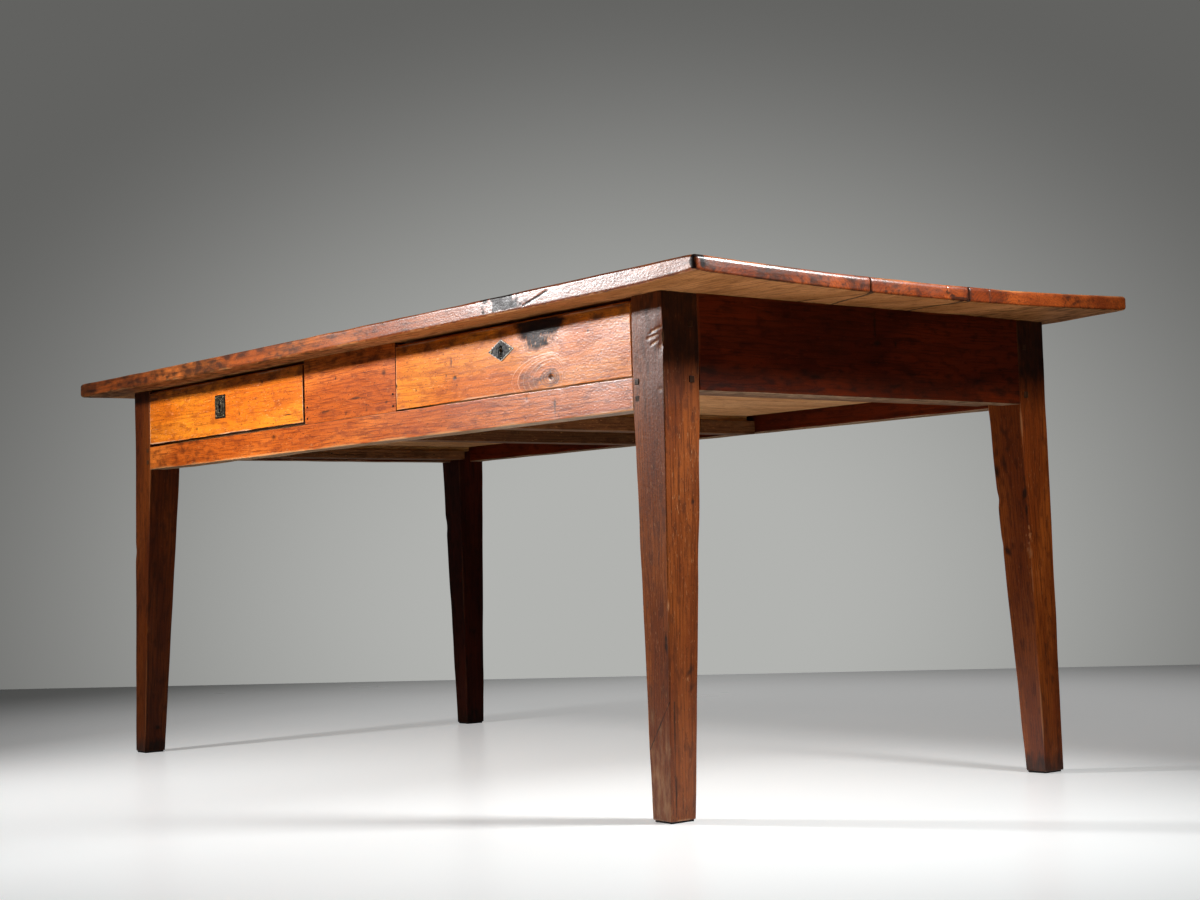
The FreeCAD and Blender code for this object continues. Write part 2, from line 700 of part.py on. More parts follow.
def make_top_board(name):
    """One board of the top, with its dowel holes, peg holes and what is cut into its underside."""
    start, width = TOP_BOARDS[name]
    edges = BOARD_EDGES[name]
    body = new_body(f"top_{name}", ("-top_length / 2", start, "frame_top"))
    front_edge = "board_gap / 2" if "front" in edges else "0"
    rear_edge = f"{width} - board_gap / 2" if "rear" in edges else width
    blank = rectangle("0", front_edge, "top_length", rear_edge)
    grow(body, draw(body, "XY_Plane", [blank]), "top_thickness")
    pegs = [(f"{x} + top_length / 2", f"{y} - ({start})")
            for x, y, owner in top_peg_places() if owner == name]
    cut(body, draw_circles(body, "XY_Plane", pegs, TOP_PEG_HOLE), "top_thickness", 1)
    for edge in edges:
        level, inward = (front_edge, 1) if edge == "front" else (rear_edge, -1)
        dowels = [(f"{share} * top_length", "top_thickness / 2") for share in EDGE_DOWEL_SHARES]
        cut(body, draw_circles(body, "XZ_Plane", dowels, DOWEL_HOLE, level),
            "edge_dowel_length / 2", inward)
    return body


def cut_top_underside(body):
    """Mortises under the front board for the centre panel's tenons and the two lock bolts."""
    panel_mortises = [[(x, f"{y} + front_overhang") for x, y in loop]
                      for loop in panel_tenon_loops("panel_left + top_length / 2", "joint_clearance")]
    cut(body, draw(body, "XY_Plane", panel_mortises), "panel_tenon_length + joint_clearance", 1)
    half = "(bolt_width / 2 + bolt_mortise_clearance)"
    near = "front_overhang + bolt_front - bolt_mortise_clearance"
    far = "front_overhang + bolt_front + bolt_thickness + bolt_mortise_clearance"
    bolt_mortises = []
    for side in DRAWERS:
        middle = f"{keyhole_x(side)} + top_length / 2"
        bolt_mortises.append(rectangle(f"{middle} - {half}", near, f"{middle} + {half}", far))
    cut(body, draw(body, "XY_Plane", bolt_mortises), "bolt_mortise_depth", 1)


def make_top_fixings():
    """Pegs down through the boards into the end rails, and dowels across the board joints."""
    peg_length = "top_thickness + top_peg_depth"
    group("top_pegs", [rod((x, y, "frame_top - top_peg_depth"), "+z", "top_peg_diameter", peg_length)
                       for x, y, name in top_peg_places()])
    dowels = []
    for joint in ("middle_board_front", "rear_board_front"):
        start_y = f"{joint} - edge_dowel_length / 2 + board_gap"
        for share in EDGE_DOWEL_SHARES:
            start = (f"{share} * top_length - top_length / 2", start_y, "frame_top + top_thickness / 2")
            dowels.append(rod(start, "+y", "edge_dowel_diameter", "edge_dowel_length - 2 * board_gap"))
    group("top_edge_dowels", dowels)


top_boards = {name: make_top_board(name) for name in TOP_BOARDS}
cut_top_underside(top_boards["front_board"])
make_top_fixings()


# The drawers: dovetailed boxes, drawn from the front left corner of the drawer at its runners

def dovetails(low, high):
    """For each tail between two heights: its centre, half its root and half its tip."""
    pitch = f"({high} - ({low})) / {DOVETAIL_COUNT}"
    for step in range(DOVETAIL_COUNT):
        centre = f"({low} + ({step} + 1 / 2) * {pitch})"
        yield centre, f"{DOVETAIL_ROOT_SHARE} * {pitch} / 2", f"{DOVETAIL_TIP_SHARE} * {pitch} / 2"


FRONT_TAILS = list(dovetails("front_lift", "drawer_side_height"))
REAR_TAILS = list(dovetails("back_bottom", "back_bottom + drawer_back_height"))


def tail_points(tail, root_at, tip_at, grow_by="0"):
    """The four corners of one tail, upwards, from its root line to its tip line and back."""
    centre, half_root, half_tip = tail
    return [(root_at, f"{centre} - {half_root} - {grow_by}"), (tip_at, f"{centre} - {half_tip} - {grow_by}"),
            (tip_at, f"{centre} + {half_tip} + {grow_by}"), (root_at, f"{centre} + {half_root} + {grow_by}")]


def drawer_body(side, piece):
    """Start one piece of a drawer in the drawer's own frame."""
    return new_body(f"{side}_drawer_{piece}", (f"{side}_drawer_left", "frame_front", "drawer_floor"))


BOTTOM_SLOT = ("bottom_rise - joint_clearance", "bottom_rise + bottom_thickness + joint_clearance")


def make_drawer_side(side, hand):
    """A drawer side: one outline holds its tails at both ends, and a groove takes the bottom."""
    body = drawer_body(side, f"{hand}_side")
    front_tip = "drawer_front_thickness - dovetail_length"
    outline = [("drawer_front_thickness", "0"), ("drawer_depth", "0"), ("drawer_depth", "back_bottom"),
               ("back_front", "back_bottom")]
    for tail in REAR_TAILS:
        outline += tail_points(tail, "back_front", "drawer_depth")
    outline += [("back_front", "drawer_side_height"), ("drawer_front_thickness", "drawer_side_height")]
    for tail in reversed(FRONT_TAILS):
        outline += reversed(tail_points(tail, "drawer_front_thickness", front_tip))
    left = {"left": "0", "right": f"{side}_drawer_width - drawer_side_thickness"}[hand]
    grow(body, draw(body, "YZ_Plane", [outline], left), "drawer_side_thickness")
    groove = rectangle("drawer_front_thickness - bottom_groove_depth - joint_clearance", BOTTOM_SLOT[0],
                       "drawer_depth", BOTTOM_SLOT[1])
    face = {"left": "drawer_side_thickness", "right": left}[hand]
    cut(body, draw(body, "YZ_Plane", [groove], face), "bottom_groove_depth", {"left": -1, "right": 1}[hand])


def cut_sockets(body, side, tails, root_at, tip_at):
    """Cut the dovetail sockets for both drawer sides into the two ends of a front or back."""
    loops = [tail_points(tail, root_at, tip_at, "joint_clearance") for tail in tails]
    depth = "drawer_side_thickness + joint_clearance"
    cut(body, draw(body, "YZ_Plane", loops), depth, 1)
    cut(body, draw(body, "YZ_Plane", loops, f"{side}_drawer_width"), depth, -1)


def lock_x(side):
    """Where the lock stands along its drawer."""
    return f"{side}_drawer_width / 2 + {side}_keyhole_offset"


def keyhole_cuts(body, side, level, depth):
    """A round keyhole with a slot under it, cut towards the back."""
    across, up = lock_x(side), f"front_lift + {side}_keyhole_rise"
    cut(body, draw_circles(body, "XZ_Plane", [(across, up)], "keyhole_diameter", level), depth, 1)
    slot = rectangle(f"{across} - keyhole_slot_width / 2", f"{up} - keyhole_slot_drop",
                     f"{across} + keyhole_slot_width / 2", up)
    cut(body, draw(body, "XZ_Plane", [slot], level), depth, 1)


def plate_nail_spots(side):
    """The nails of a keyhole plate: four corners of the square one, two ends of the diamond."""
    across, up = lock_x(side), f"front_lift + {side}_keyhole_rise"
    reach_x = f"({side}_plate_width / 2 - {side}_plate_nail_inset)"
    reach_z = f"({side}_plate_height / 2 - {side}_plate_nail_inset)"
    if side == "left":
        return [(f"{across} {a} {reach_x}", f"{up} {b} {reach_z}") for a in "-+" for b in "-+"]
    return [(f"{across} {a} {reach_x}", up) for a in "-+"]


def lock_nail_spots(side):
    """The four nails through the flanges of a lock's plate."""
    reach = "(lock_plate_width + lock_case_width) / 4"
    heights = ("lock_case_bottom", "drawer_front_top - lock_plate_margin")
    return [(f"{lock_x(side)} {a} {reach}", z) for a in "-+" for z in heights]


PLATE_NAIL_HOLE = "plate_nail_diameter + 2 * peg_clearance"
LOCK_NAIL_HOLE = "lock_nail_diameter + 2 * peg_clearance"


def make_drawer_front(side):
    """The drawer front: blind sockets, the bottom's groove, the lock's recess and the keyhole."""
    body = drawer_body(side, "front")
    blank = rectangle("0", "0", f"{side}_drawer_width", "drawer_front_thickness")
    grow(body, draw(body, "XY_Plane", [blank], "front_lift"), "drawer_front_height")
    cut_sockets(body, side, FRONT_TAILS, "drawer_front_thickness",
                "drawer_front_thickness - dovetail_length - joint_clearance")
    back_face = "drawer_front_thickness"
    reach = "(drawer_side_thickness - bottom_groove_depth)"
    groove = rectangle(reach, BOTTOM_SLOT[0], f"{side}_drawer_width - {reach}", BOTTOM_SLOT[1])
    cut(body, draw(body, "XZ_Plane", [groove], back_face), "bottom_groove_depth + joint_clearance", -1)
    half = "lock_case_width / 2 + joint_clearance"
    recess = rectangle(f"{lock_x(side)} - ({half})", "lock_case_bottom - joint_clearance",
                       f"{lock_x(side)} + {half}", "drawer_front_top + overrun")
    cut(body, draw(body, "XZ_Plane", [recess], back_face), "lock_case_depth + joint_clearance", -1)
    keyhole_cuts(body, side, "0", "drawer_front_thickness - lock_case_depth")
    cut(body, draw_circles(body, "XZ_Plane", plate_nail_spots(side), PLATE_NAIL_HOLE),
        "plate_nail_length - key_plate_thickness + peg_clearance", 1)
    cut(body, draw_circles(body, "XZ_Plane", lock_nail_spots(side), LOCK_NAIL_HOLE, back_face),
        "lock_nail_length - lock_plate_thickness + peg_clearance", -1)


def bottom_edges(side):
    """Where each bottom board starts and ends across the drawer."""
    start = "drawer_side_thickness - bottom_groove_depth + joint_clearance"
    span = f"({side}_drawer_width - 2 * ({start}))"
    joints = [f"{start} + {share} * {span}" for share in BOTTOM_JOINT_SHARES]
    return list(zip(joints[:-1], joints[1:]))


def bottom_nail_spots(left, right):
    """Two nails near the back edge of one bottom board, under the drawer back."""
    y = "drawer_depth - drawer_back_thickness / 2"
    return [(f"{left} + {share} * ({right} - ({left}))", y) for share in BOTTOM_NAIL_SHARES]


BOTTOM_NAIL_HOLE = "bottom_nail_diameter + 2 * peg_clearance"


def make_drawer_back(side):
    """The drawer back stands on the bottom boards, with through sockets for the sides."""
    body = drawer_body(side, "back")
    blank = rectangle("0", "back_front", f"{side}_drawer_width", "drawer_depth")
    grow(body, draw(body, "XY_Plane", [blank], "back_bottom"), "drawer_back_height")
    cut_sockets(body, side, REAR_TAILS, "back_front", "drawer_depth")
    spots = [spot for edges in bottom_edges(side) for spot in bottom_nail_spots(*edges)]
    cut(body, draw_circles(body, "XY_Plane", spots, BOTTOM_NAIL_HOLE, "back_bottom"),
        "bottom_nail_length - bottom_thickness", 1)


def make_drawer_bottom(side):
    """Three loose boards that run from front to back in grooves, nailed up into the back."""
    nails = []
    for hand, (left, right) in zip(("left", "middle", "right"), bottom_edges(side)):
        body = drawer_body(side, f"bottom_{hand}_board")
        blank = rectangle(f"{left} + bottom_board_gap / 2", "drawer_front_thickness - bottom_groove_depth",
                          f"{right} - bottom_board_gap / 2", "drawer_depth - joint_clearance")
        grow(body, draw(body, "XY_Plane", [blank], "bottom_rise"), "bottom_thickness")
        spots = bottom_nail_spots(left, right)
        holes = draw_circles(body, "XY_Plane", spots, BOTTOM_NAIL_HOLE, "bottom_rise")
        cut(body, holes, "bottom_thickness", 1)
        for x, y in spots:
            seat = (f"{side}_drawer_left + {x}", f"frame_front + {y}", "drawer_floor + bottom_rise")
            nails.append(rod(seat, "+z", "bottom_nail_diameter", "bottom_nail_length"))
    group(f"{side}_drawer_bottom_nails", nails)


def make_key_plate(side):
    """The iron plate round the keyhole: a diamond on the right drawer, a square on the left."""
    body = drawer_body(side, "escutcheon")
    across, up = lock_x(side), f"front_lift + {side}_keyhole_rise"
    half_x, half_z = f"{side}_plate_width / 2", f"{side}_plate_height / 2"
    left, right = f"{across} - {half_x}", f"{across} + {half_x}"
    low, high = f"{up} - {half_z}", f"{up} + {half_z}"
    if side == "left":
        outline = rectangle(left, low, right, high)
    else:
        outline = [(left, up), (across, low), (right, up), (across, high)]
    grow(body, draw(body, "XZ_Plane", [outline]), "key_plate_thickness", -1)
    keyhole_cuts(body, side, "-key_plate_thickness", "key_plate_thickness")
    spots = plate_nail_spots(side)
    cut(body, draw_circles(body, "XZ_Plane", spots, PLATE_NAIL_HOLE), "key_plate_thickness", -1)
    nails = []
    for x, z in spots:
        seat = (f"{side}_drawer_left + {x}", "frame_front - key_plate_thickness", f"drawer_floor + {z}")
        nails.append(headed_nail(seat, "+y", "plate_nail_head_diameter", "plate_nail_diameter",
                                 "plate_nail_length", "plate_nail_head_height"))
    group(f"{side}_drawer_escutcheon_nails", nails)


def make_lock(side):
    """The lock: an iron case on a nailed plate, and the bolt that rises out of its top."""
    case = drawer_body(side, "lock_case")
    middle = lock_x(side)
    back_face = "drawer_front_thickness"
    block = rectangle(f"{middle} - lock_case_width / 2", "lock_case_front",
                      f"{middle} + lock_case_width / 2", back_face)
    grow(case, draw(case, "XY_Plane", [block], "lock_case_bottom"), "lock_case_height")
    plate = rectangle(f"{middle} - lock_plate_width / 2", back_face,
                      f"{middle} + lock_plate_width / 2", f"{back_face} + lock_plate_thickness")
    grow(case, draw(case, "XY_Plane", [plate], "lock_case_bottom - lock_plate_margin"),
         "lock_case_height + lock_plate_margin")
    half = "bolt_width / 2 + bolt_clearance"
    channel = rectangle(f"{middle} - ({half})", "bolt_front - bolt_clearance",
                        f"{middle} + {half}", "bolt_front + bolt_thickness + bolt_clearance")
    cut(case, draw(case, "XY_Plane", [channel], "drawer_front_top"),
        "bolt_length + bolt_setback + bolt_clearance", -1)
    keyhole_cuts(case, side, "lock_case_front", "lock_case_depth / 2")
    cut(case, draw_circles(case, "XZ_Plane", lock_nail_spots(side), LOCK_NAIL_HOLE, back_face),
        "lock_plate_thickness", 1)
    bolt = drawer_body(side, "lock_bolt")
    bar = rectangle(f"{middle} - bolt_width / 2", "bolt_front",
                    f"{middle} + bolt_width / 2", "bolt_front + bolt_thickness")
    grow(bolt, draw(bolt, "XY_Plane", [bar], "bolt_bottom"), "bolt_length")
    nail_y = f"frame_front + {back_face} + lock_plate_thickness"
    nails = []
    for x, z in lock_nail_spots(side):
        head = (f"{side}_drawer_left + {x}", nail_y, f"drawer_floor + {z}")
        nails.append(rod(head, "-y", "lock_nail_diameter", "lock_nail_length"))
    group(f"{side}_drawer_lock_nails", nails)


def make_drawer_stop(side):
    """The block on the rear rail that stops the drawer flush with the frame."""
    board(f"{side}_drawer_stop",
          (f"{side}_drawer_left + ({side}_drawer_width - stop_width) / 2",
           "rear_rail_inside - stop_thickness", "front_rail_top + stop_rise"),
          "stop_width", "stop_thickness", "stop_height")


for drawer_name in DRAWERS:
    make_drawer_front(drawer_name)
    make_drawer_side(drawer_name, "left")
    make_drawer_side(drawer_name, "right")
    make_drawer_back(drawer_name)
    make_drawer_bottom(drawer_name)
    make_key_plate(drawer_name)
    make_lock(drawer_name)
    make_drawer_stop(drawer_name)


# Build everything, check it, and write each sub-part to its own file

doc.recompute()
for item in doc.Objects:
    if {"Invalid", "Error"} & set(item.State):
        raise RuntimeError(f"{item.Label} did not build: {item.State}")
    if item.isDerivedFrom("PartDesign::Pocket") and item.Shape.Volume >= item.BaseFeature.Shape.Volume:
        raise RuntimeError(f"a cut of {item.getParent().Label} removes nothing")
os.makedirs("parts", exist_ok=True)
for item in SUBPARTS:
    if item.Shape.isNull() or not item.Shape.isValid():
        raise RuntimeError(f"{item.Label} has no valid shape")
    solids = len(item.Shape.Solids)
    if item.isDerivedFrom("PartDesign::Body") and solids != 1:
        raise RuntimeError(f"{item.Label} has {solids} solids")
    item.Shape.exportStep(f"parts/{item.Label}.step")
    print(item.Label, solids, round(item.Shape.Volume))
print(len(SUBPARTS), "sub-parts")
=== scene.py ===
# %% [markdown]
# # A farmhouse dining table, dressed for the camera
# The table is an old one: cherry planks pegged to a frame of rails and tapered legs, with two
# deep drawers. Its CAD model already holds every piece at its real size. This script loads that
# model as a fixed frame, puts worn boards, legs and drawer fronts over the plain solids that
# show, and gives every piece a finish. A fresh mesh for each visible board was chosen over a
# bevel on the solids, because two centuries of use leave edges that are never equally round.

# %% Load the frame and note its box
import math
import bmesh
import bpy
import numpy as np
from mathutils import Matrix, Vector


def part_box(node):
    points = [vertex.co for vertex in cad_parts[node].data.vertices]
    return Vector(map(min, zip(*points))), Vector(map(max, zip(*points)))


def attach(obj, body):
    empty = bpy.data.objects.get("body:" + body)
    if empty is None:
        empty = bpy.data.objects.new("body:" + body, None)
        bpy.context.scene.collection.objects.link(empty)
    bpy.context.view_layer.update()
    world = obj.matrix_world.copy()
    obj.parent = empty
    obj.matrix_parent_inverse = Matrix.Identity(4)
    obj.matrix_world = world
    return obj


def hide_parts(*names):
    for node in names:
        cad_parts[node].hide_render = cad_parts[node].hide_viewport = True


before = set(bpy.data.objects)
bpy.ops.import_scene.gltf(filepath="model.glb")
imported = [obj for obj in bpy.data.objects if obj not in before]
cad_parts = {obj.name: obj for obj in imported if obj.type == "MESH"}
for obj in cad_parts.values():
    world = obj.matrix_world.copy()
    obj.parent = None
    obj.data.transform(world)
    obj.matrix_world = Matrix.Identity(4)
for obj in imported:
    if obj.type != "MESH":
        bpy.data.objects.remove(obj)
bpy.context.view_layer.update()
MM = 0.001

# %% [markdown]
# ## The camera
# The picture was taken from below the height of the top, off the right-hand front corner, with
# a slight tilt of the camera. A camera object takes its place and its three angles from a fit of
# the table's edges. Pointing it with a constraint would be shorter, but could not hold the tilt.

# %% Camera at the photographed angle
CAMERA_PLACE = Vector((2.8868, -2.1435, 0.3656))
SENSOR_WIDTH = 36.0
# The focal length and the width of the picture, both in pixels
FOCAL_LENGTH, PICTURE_WIDTH = 1944.92, 1200
yaw, pitch, roll = np.radians((51.5325, 3.2349, -1.646))
ahead = Vector((-math.sin(yaw) * math.cos(pitch), math.cos(yaw) * math.cos(pitch), math.sin(pitch)))
level_right = ahead.cross(Vector((0, 0, 1))).normalized()
level_up = level_right.cross(ahead)
right = math.cos(roll) * level_right + math.sin(roll) * level_up
up = math.cos(roll) * level_up - math.sin(roll) * level_right
camera = bpy.data.objects.new("camera", bpy.data.cameras.new("camera"))
bpy.context.scene.collection.objects.link(camera)
camera.matrix_world = Matrix.Translation(CAMERA_PLACE) @ Matrix((right, up, -ahead)).transposed().to_4x4()
camera.data.sensor_width = SENSOR_WIDTH
camera.data.lens = SENSOR_WIDTH * FOCAL_LENGTH / PICTURE_WIDTH
bpy.context.scene.camera = camera
bpy.context.scene.view_settings.view_transform = "Standard"
print("camera lens in mm:", round(camera.data.lens, 2))

# %% [markdown]
# ## Colours and nodes
# Colours are written the way a paint chart gives them, as sRGB hex values. Blender's shaders
# work in linear light, so one function turns the first into the second. Another small function
# adds a shader node with its settings and links, so that each finish below reads as a recipe. Paint
# and dirt lie in layers, so the last helper lays tints over a ground colour, each by a pattern.

# %% Colours, nodes and layers
def srgb(code):
    """An sRGB hex colour as linear red, green, blue and alpha."""
    parts = [int(code[place:place + 2], 16) / 255 for place in (1, 3, 5)]
    return [part / 12.92 if part <= 0.04045 else ((part + 0.055) / 1.055) ** 2.4 for part in parts] + [1.0]


def fill(tree, node, inputs):
    """Fill a node's sockets with values, or with links from sockets or from the first output of nodes."""
    for socket, value in inputs.items():
        if isinstance(value, bpy.types.Node):
            value = next(output for output in value.outputs if output.enabled)
        if isinstance(value, bpy.types.NodeSocket):
            tree.links.new(value, node.inputs[socket])
        else:
            node.inputs[socket].default_value = value
    return node


def add_node(tree, kind, inputs=None, **options):
    """Add one shader node, set its options and fill its sockets."""
    made = tree.nodes.new("ShaderNode" + kind)
    for option, value in options.items():
        setattr(made, option, value)
    return fill(tree, made, inputs or {})


def new_finish(name):
    """A new finish, its tree of nodes and its surface shader."""
    finish = bpy.data.materials.new(name)
    finish.use_nodes = True
    return finish, finish.node_tree, finish.node_tree.nodes["Principled BSDF"]


def lay_colours(tree, colour, layers):
    """Lay tints over a colour. Each layer: its pattern, where it starts and is full, strength and tint."""
    for pattern, start, full, strength, tint in layers:
        cover = add_node(tree, "MapRange", {"Value": pattern, "From Min": start, "From Max": full,
                                            "To Max": strength}, interpolation_type="SMOOTHSTEP")
        colour = add_node(tree, "Mix", {0: cover, 6: colour, 7: srgb(tint)}, data_type="RGBA")
    return colour, cover


def per_mm(size):
    """The texture scale that makes a pattern's features about this many millimetres wide."""
    return 1 / (size * MM)


print("cherry amber in linear light:", np.round(srgb("#CB7B30"), 3).tolist())

# %% [markdown]
# ## Studio floor, backdrop and light
# The table stands on a pale, slightly glossy studio floor in front of a grey wall. The floor is
# a flat sheet that ends where the wall began, and a painted pool of light, seen by the eye alone,
# brightens its middle. The wall itself is left to the world's colour, so that it never stands in the
# way of a view from behind; that colour is a painted pool of light in its middle, fading to painted
# shade towards its edges. A small softbox close by on the left gives the shadow of the top on the
# drawers and the sheen on their wax, a large one in front opens the shadows, and one on the right
# lights the end.

# %% Floor sheet, painted and polished
FLOOR_HALF, FLOOR_BACK = 7, 2.517
BRIGHT_MIDDLE = (-0.35, 0.75, 0)
WALL_TURN = math.radians(44.1)
floor_finish, tree, paint = new_finish("painted_concrete_polished")
place = add_node(tree, "TexCoord").outputs["Object"]
scuffs = add_node(tree, "TexNoise", {"Vector": place, "Scale": per_mm(900), "Detail": 4.0})
tint = add_node(tree, "Mix", {0: scuffs, 6: srgb("#E8EAEA"), 7: srgb("#EDEFEF")}, data_type="RGBA")
gloss = add_node(tree, "MapRange", {"Value": scuffs, "To Min": 0.24, "To Max": 0.34})
# A painted pool of light: the floor glows for camera rays alone, most round its bright middle
away = add_node(tree, "VectorMath", {0: place, 1: BRIGHT_MIDDLE}, operation="DISTANCE")
painted_light_pool = add_node(tree, "MapRange", {"Value": away, "From Min": 2.7, "From Max": 0.9, "To Max": 0.27},
                interpolation_type="SMOOTHSTEP")
eye = add_node(tree, "LightPath").outputs["Is Camera Ray"]
glow = add_node(tree, "Math", {0: painted_light_pool, 1: eye}, operation="MULTIPLY")
fill(tree, paint, {"Base Color": tint, "Roughness": gloss, "Emission Color": srgb("#FFFFFF"),
                   "Emission Strength": glow})
along_wall = Vector((math.cos(WALL_TURN), math.sin(WALL_TURN), 0))
to_wall = Vector((-math.sin(WALL_TURN), math.cos(WALL_TURN), 0))
near_side, far_side = to_wall * -FLOOR_HALF, to_wall * FLOOR_BACK
left_side, right_side = along_wall * -FLOOR_HALF, along_wall * FLOOR_HALF
floor_mesh = bpy.data.meshes.new("floor")
corners = [left_side + near_side, right_side + near_side, right_side + far_side, left_side + far_side]
floor_mesh.from_pydata(corners, [], [(0, 1, 2, 3)])
floor_mesh.materials.append(floor_finish)
floor = bpy.data.objects.new("floor", floor_mesh)
bpy.context.scene.collection.objects.link(floor)
print("floor ends behind the table at", [round(value, 2) for value in far_side])

# %% World: a grey wall for the eye, soft fill for the object
# The middle of the painted pool of light on the wall, in pixels to the right of the picture's middle and
# below it
GLOW_RIGHT, GLOW_BELOW = 40, 150
GLOW_WAY = (ahead + right * GLOW_RIGHT / FOCAL_LENGTH - up * GLOW_BELOW / FOCAL_LENGTH).normalized()
world = bpy.data.worlds.new("studio")
bpy.context.scene.world = world
world.use_nodes = True
tree = world.node_tree
sight = add_node(tree, "TexCoord").outputs["Generated"]
aside = add_node(tree, "VectorMath", {0: sight, 1: GLOW_WAY}, operation="SUBTRACT")
squeezed = add_node(tree, "VectorMath", {0: aside, 1: (1, 1, 1.3)}, operation="MULTIPLY")
farness = add_node(tree, "VectorMath", {0: squeezed}, operation="LENGTH")
# Painted light on the wall: pale round the glow's middle, and dimmed towards the edges as painted shade
wall, _ = lay_colours(tree, srgb("#626260"), ((farness, 0.42, 0.08, 1.0, "#B2B3B0"),))
dusk = add_node(tree, "MapRange", {"Value": farness, "From Min": 1.3, "From Max": 0.5, "To Min": 0.4},
                interpolation_type="SMOOTHSTEP")
wall_seen = add_node(tree, "Background", {"Color": wall, "Strength": dusk})
soft_fill = add_node(tree, "Background", {"Color": srgb("#F4F5F5"), "Strength": 0.03})
rays = add_node(tree, "LightPath").outputs
seen = add_node(tree, "Math", {0: rays["Is Camera Ray"], 1: rays["Is Transmission Ray"]}, operation="MAXIMUM")
shown = add_node(tree, "Math", {0: seen, 1: rays["Is Glossy Ray"]}, operation="MAXIMUM")
both = add_node(tree, "MixShader", {0: shown, 1: soft_fill, 2: wall_seen})
fill(tree, tree.nodes["World Output"], {"Surface": both})
print("world fill strength:", round(soft_fill.inputs["Strength"].default_value, 3))

# %% Softboxes
# Each softbox: its place, what it points at, its width and height, its power and its spread in degrees
SOFTBOXES = {
    "left": ((-0.71, -1.4, 1.15), (0.9, -0.3, 0.5), (0.15, 0.15), 26, 150),
    "right": ((1.63, 0.34, 1.36), (0.95, -0.85, 0.4), (0.3, 0.3), 18.5, 120),
    "front": ((-0.54, -3.5, 2.07), (0.6, -0.4, 0.4), (1.0, 1.0), 5, 120),
}
for name, (place, aim, size, watts, spread) in SOFTBOXES.items():
    lamp = bpy.data.lights.new(f"softbox_{name}", "AREA")
    lamp.shape = "RECTANGLE"
    lamp.size, lamp.size_y = size
    lamp.energy = watts
    lamp.spread = math.radians(spread)
    box = bpy.data.objects.new(f"softbox_{name}", lamp)
    bpy.context.scene.collection.objects.link(box)
    box.location = place
    box.rotation_euler = (Vector(aim) - Vector(place)).to_track_quat("-Z", "Y").to_euler()
print("softboxes:", len(SOFTBOXES), "watts in all:", sum(row[3] for row in SOFTBOXES.values()))

# %% [markdown]
# ## Waxed cherry
# Cherry that was planed by hand, stained by light and smoke and waxed for two centuries. The eye
# gets amber to red-brown ground colour in broad patches, growth rings a few millimetres apart,
# fine dark fibres and gum flecks, rubbed edges and a soft, slightly broken shine. The rings are
# true cylinders round a pith beside each board, so that a face shows long streaks and an end
# shows arcs. A flat stripe texture would be quicker, but it would show stripes on the ends too.

# %% The recipe for cherry
# Each pattern: its size along the grain, its size across it, both in millimetres, and its detail
WOOD_PATTERNS = {"sway": (420, 55, 2), "patches": (300, 80, 3), "mottle": (26, 12, 4), "fibre": (60, 1.7, 3),
                 "fleck": (4, 2.2, 1), "peel": (4.5, 3.2, 2), "pores": (5, 2.6, 2), "scuff": (11, 1.5, 2)}
# How deep each pattern goes into the surface, in millimetres; the finest are drawn coarser than
# real pores of a tenth of a millimetre, so that they show
WOOD_RELIEF = {"mottle": 0.12, "peel": 0.24, "fibre": 0.06, "pores": 0.1}
RING_WIDTH, RING_SWAY = 6 * MM, 35 * MM
# A wave texture of scale 1 has rings of this width
WAVE_UNIT = math.tau / 20


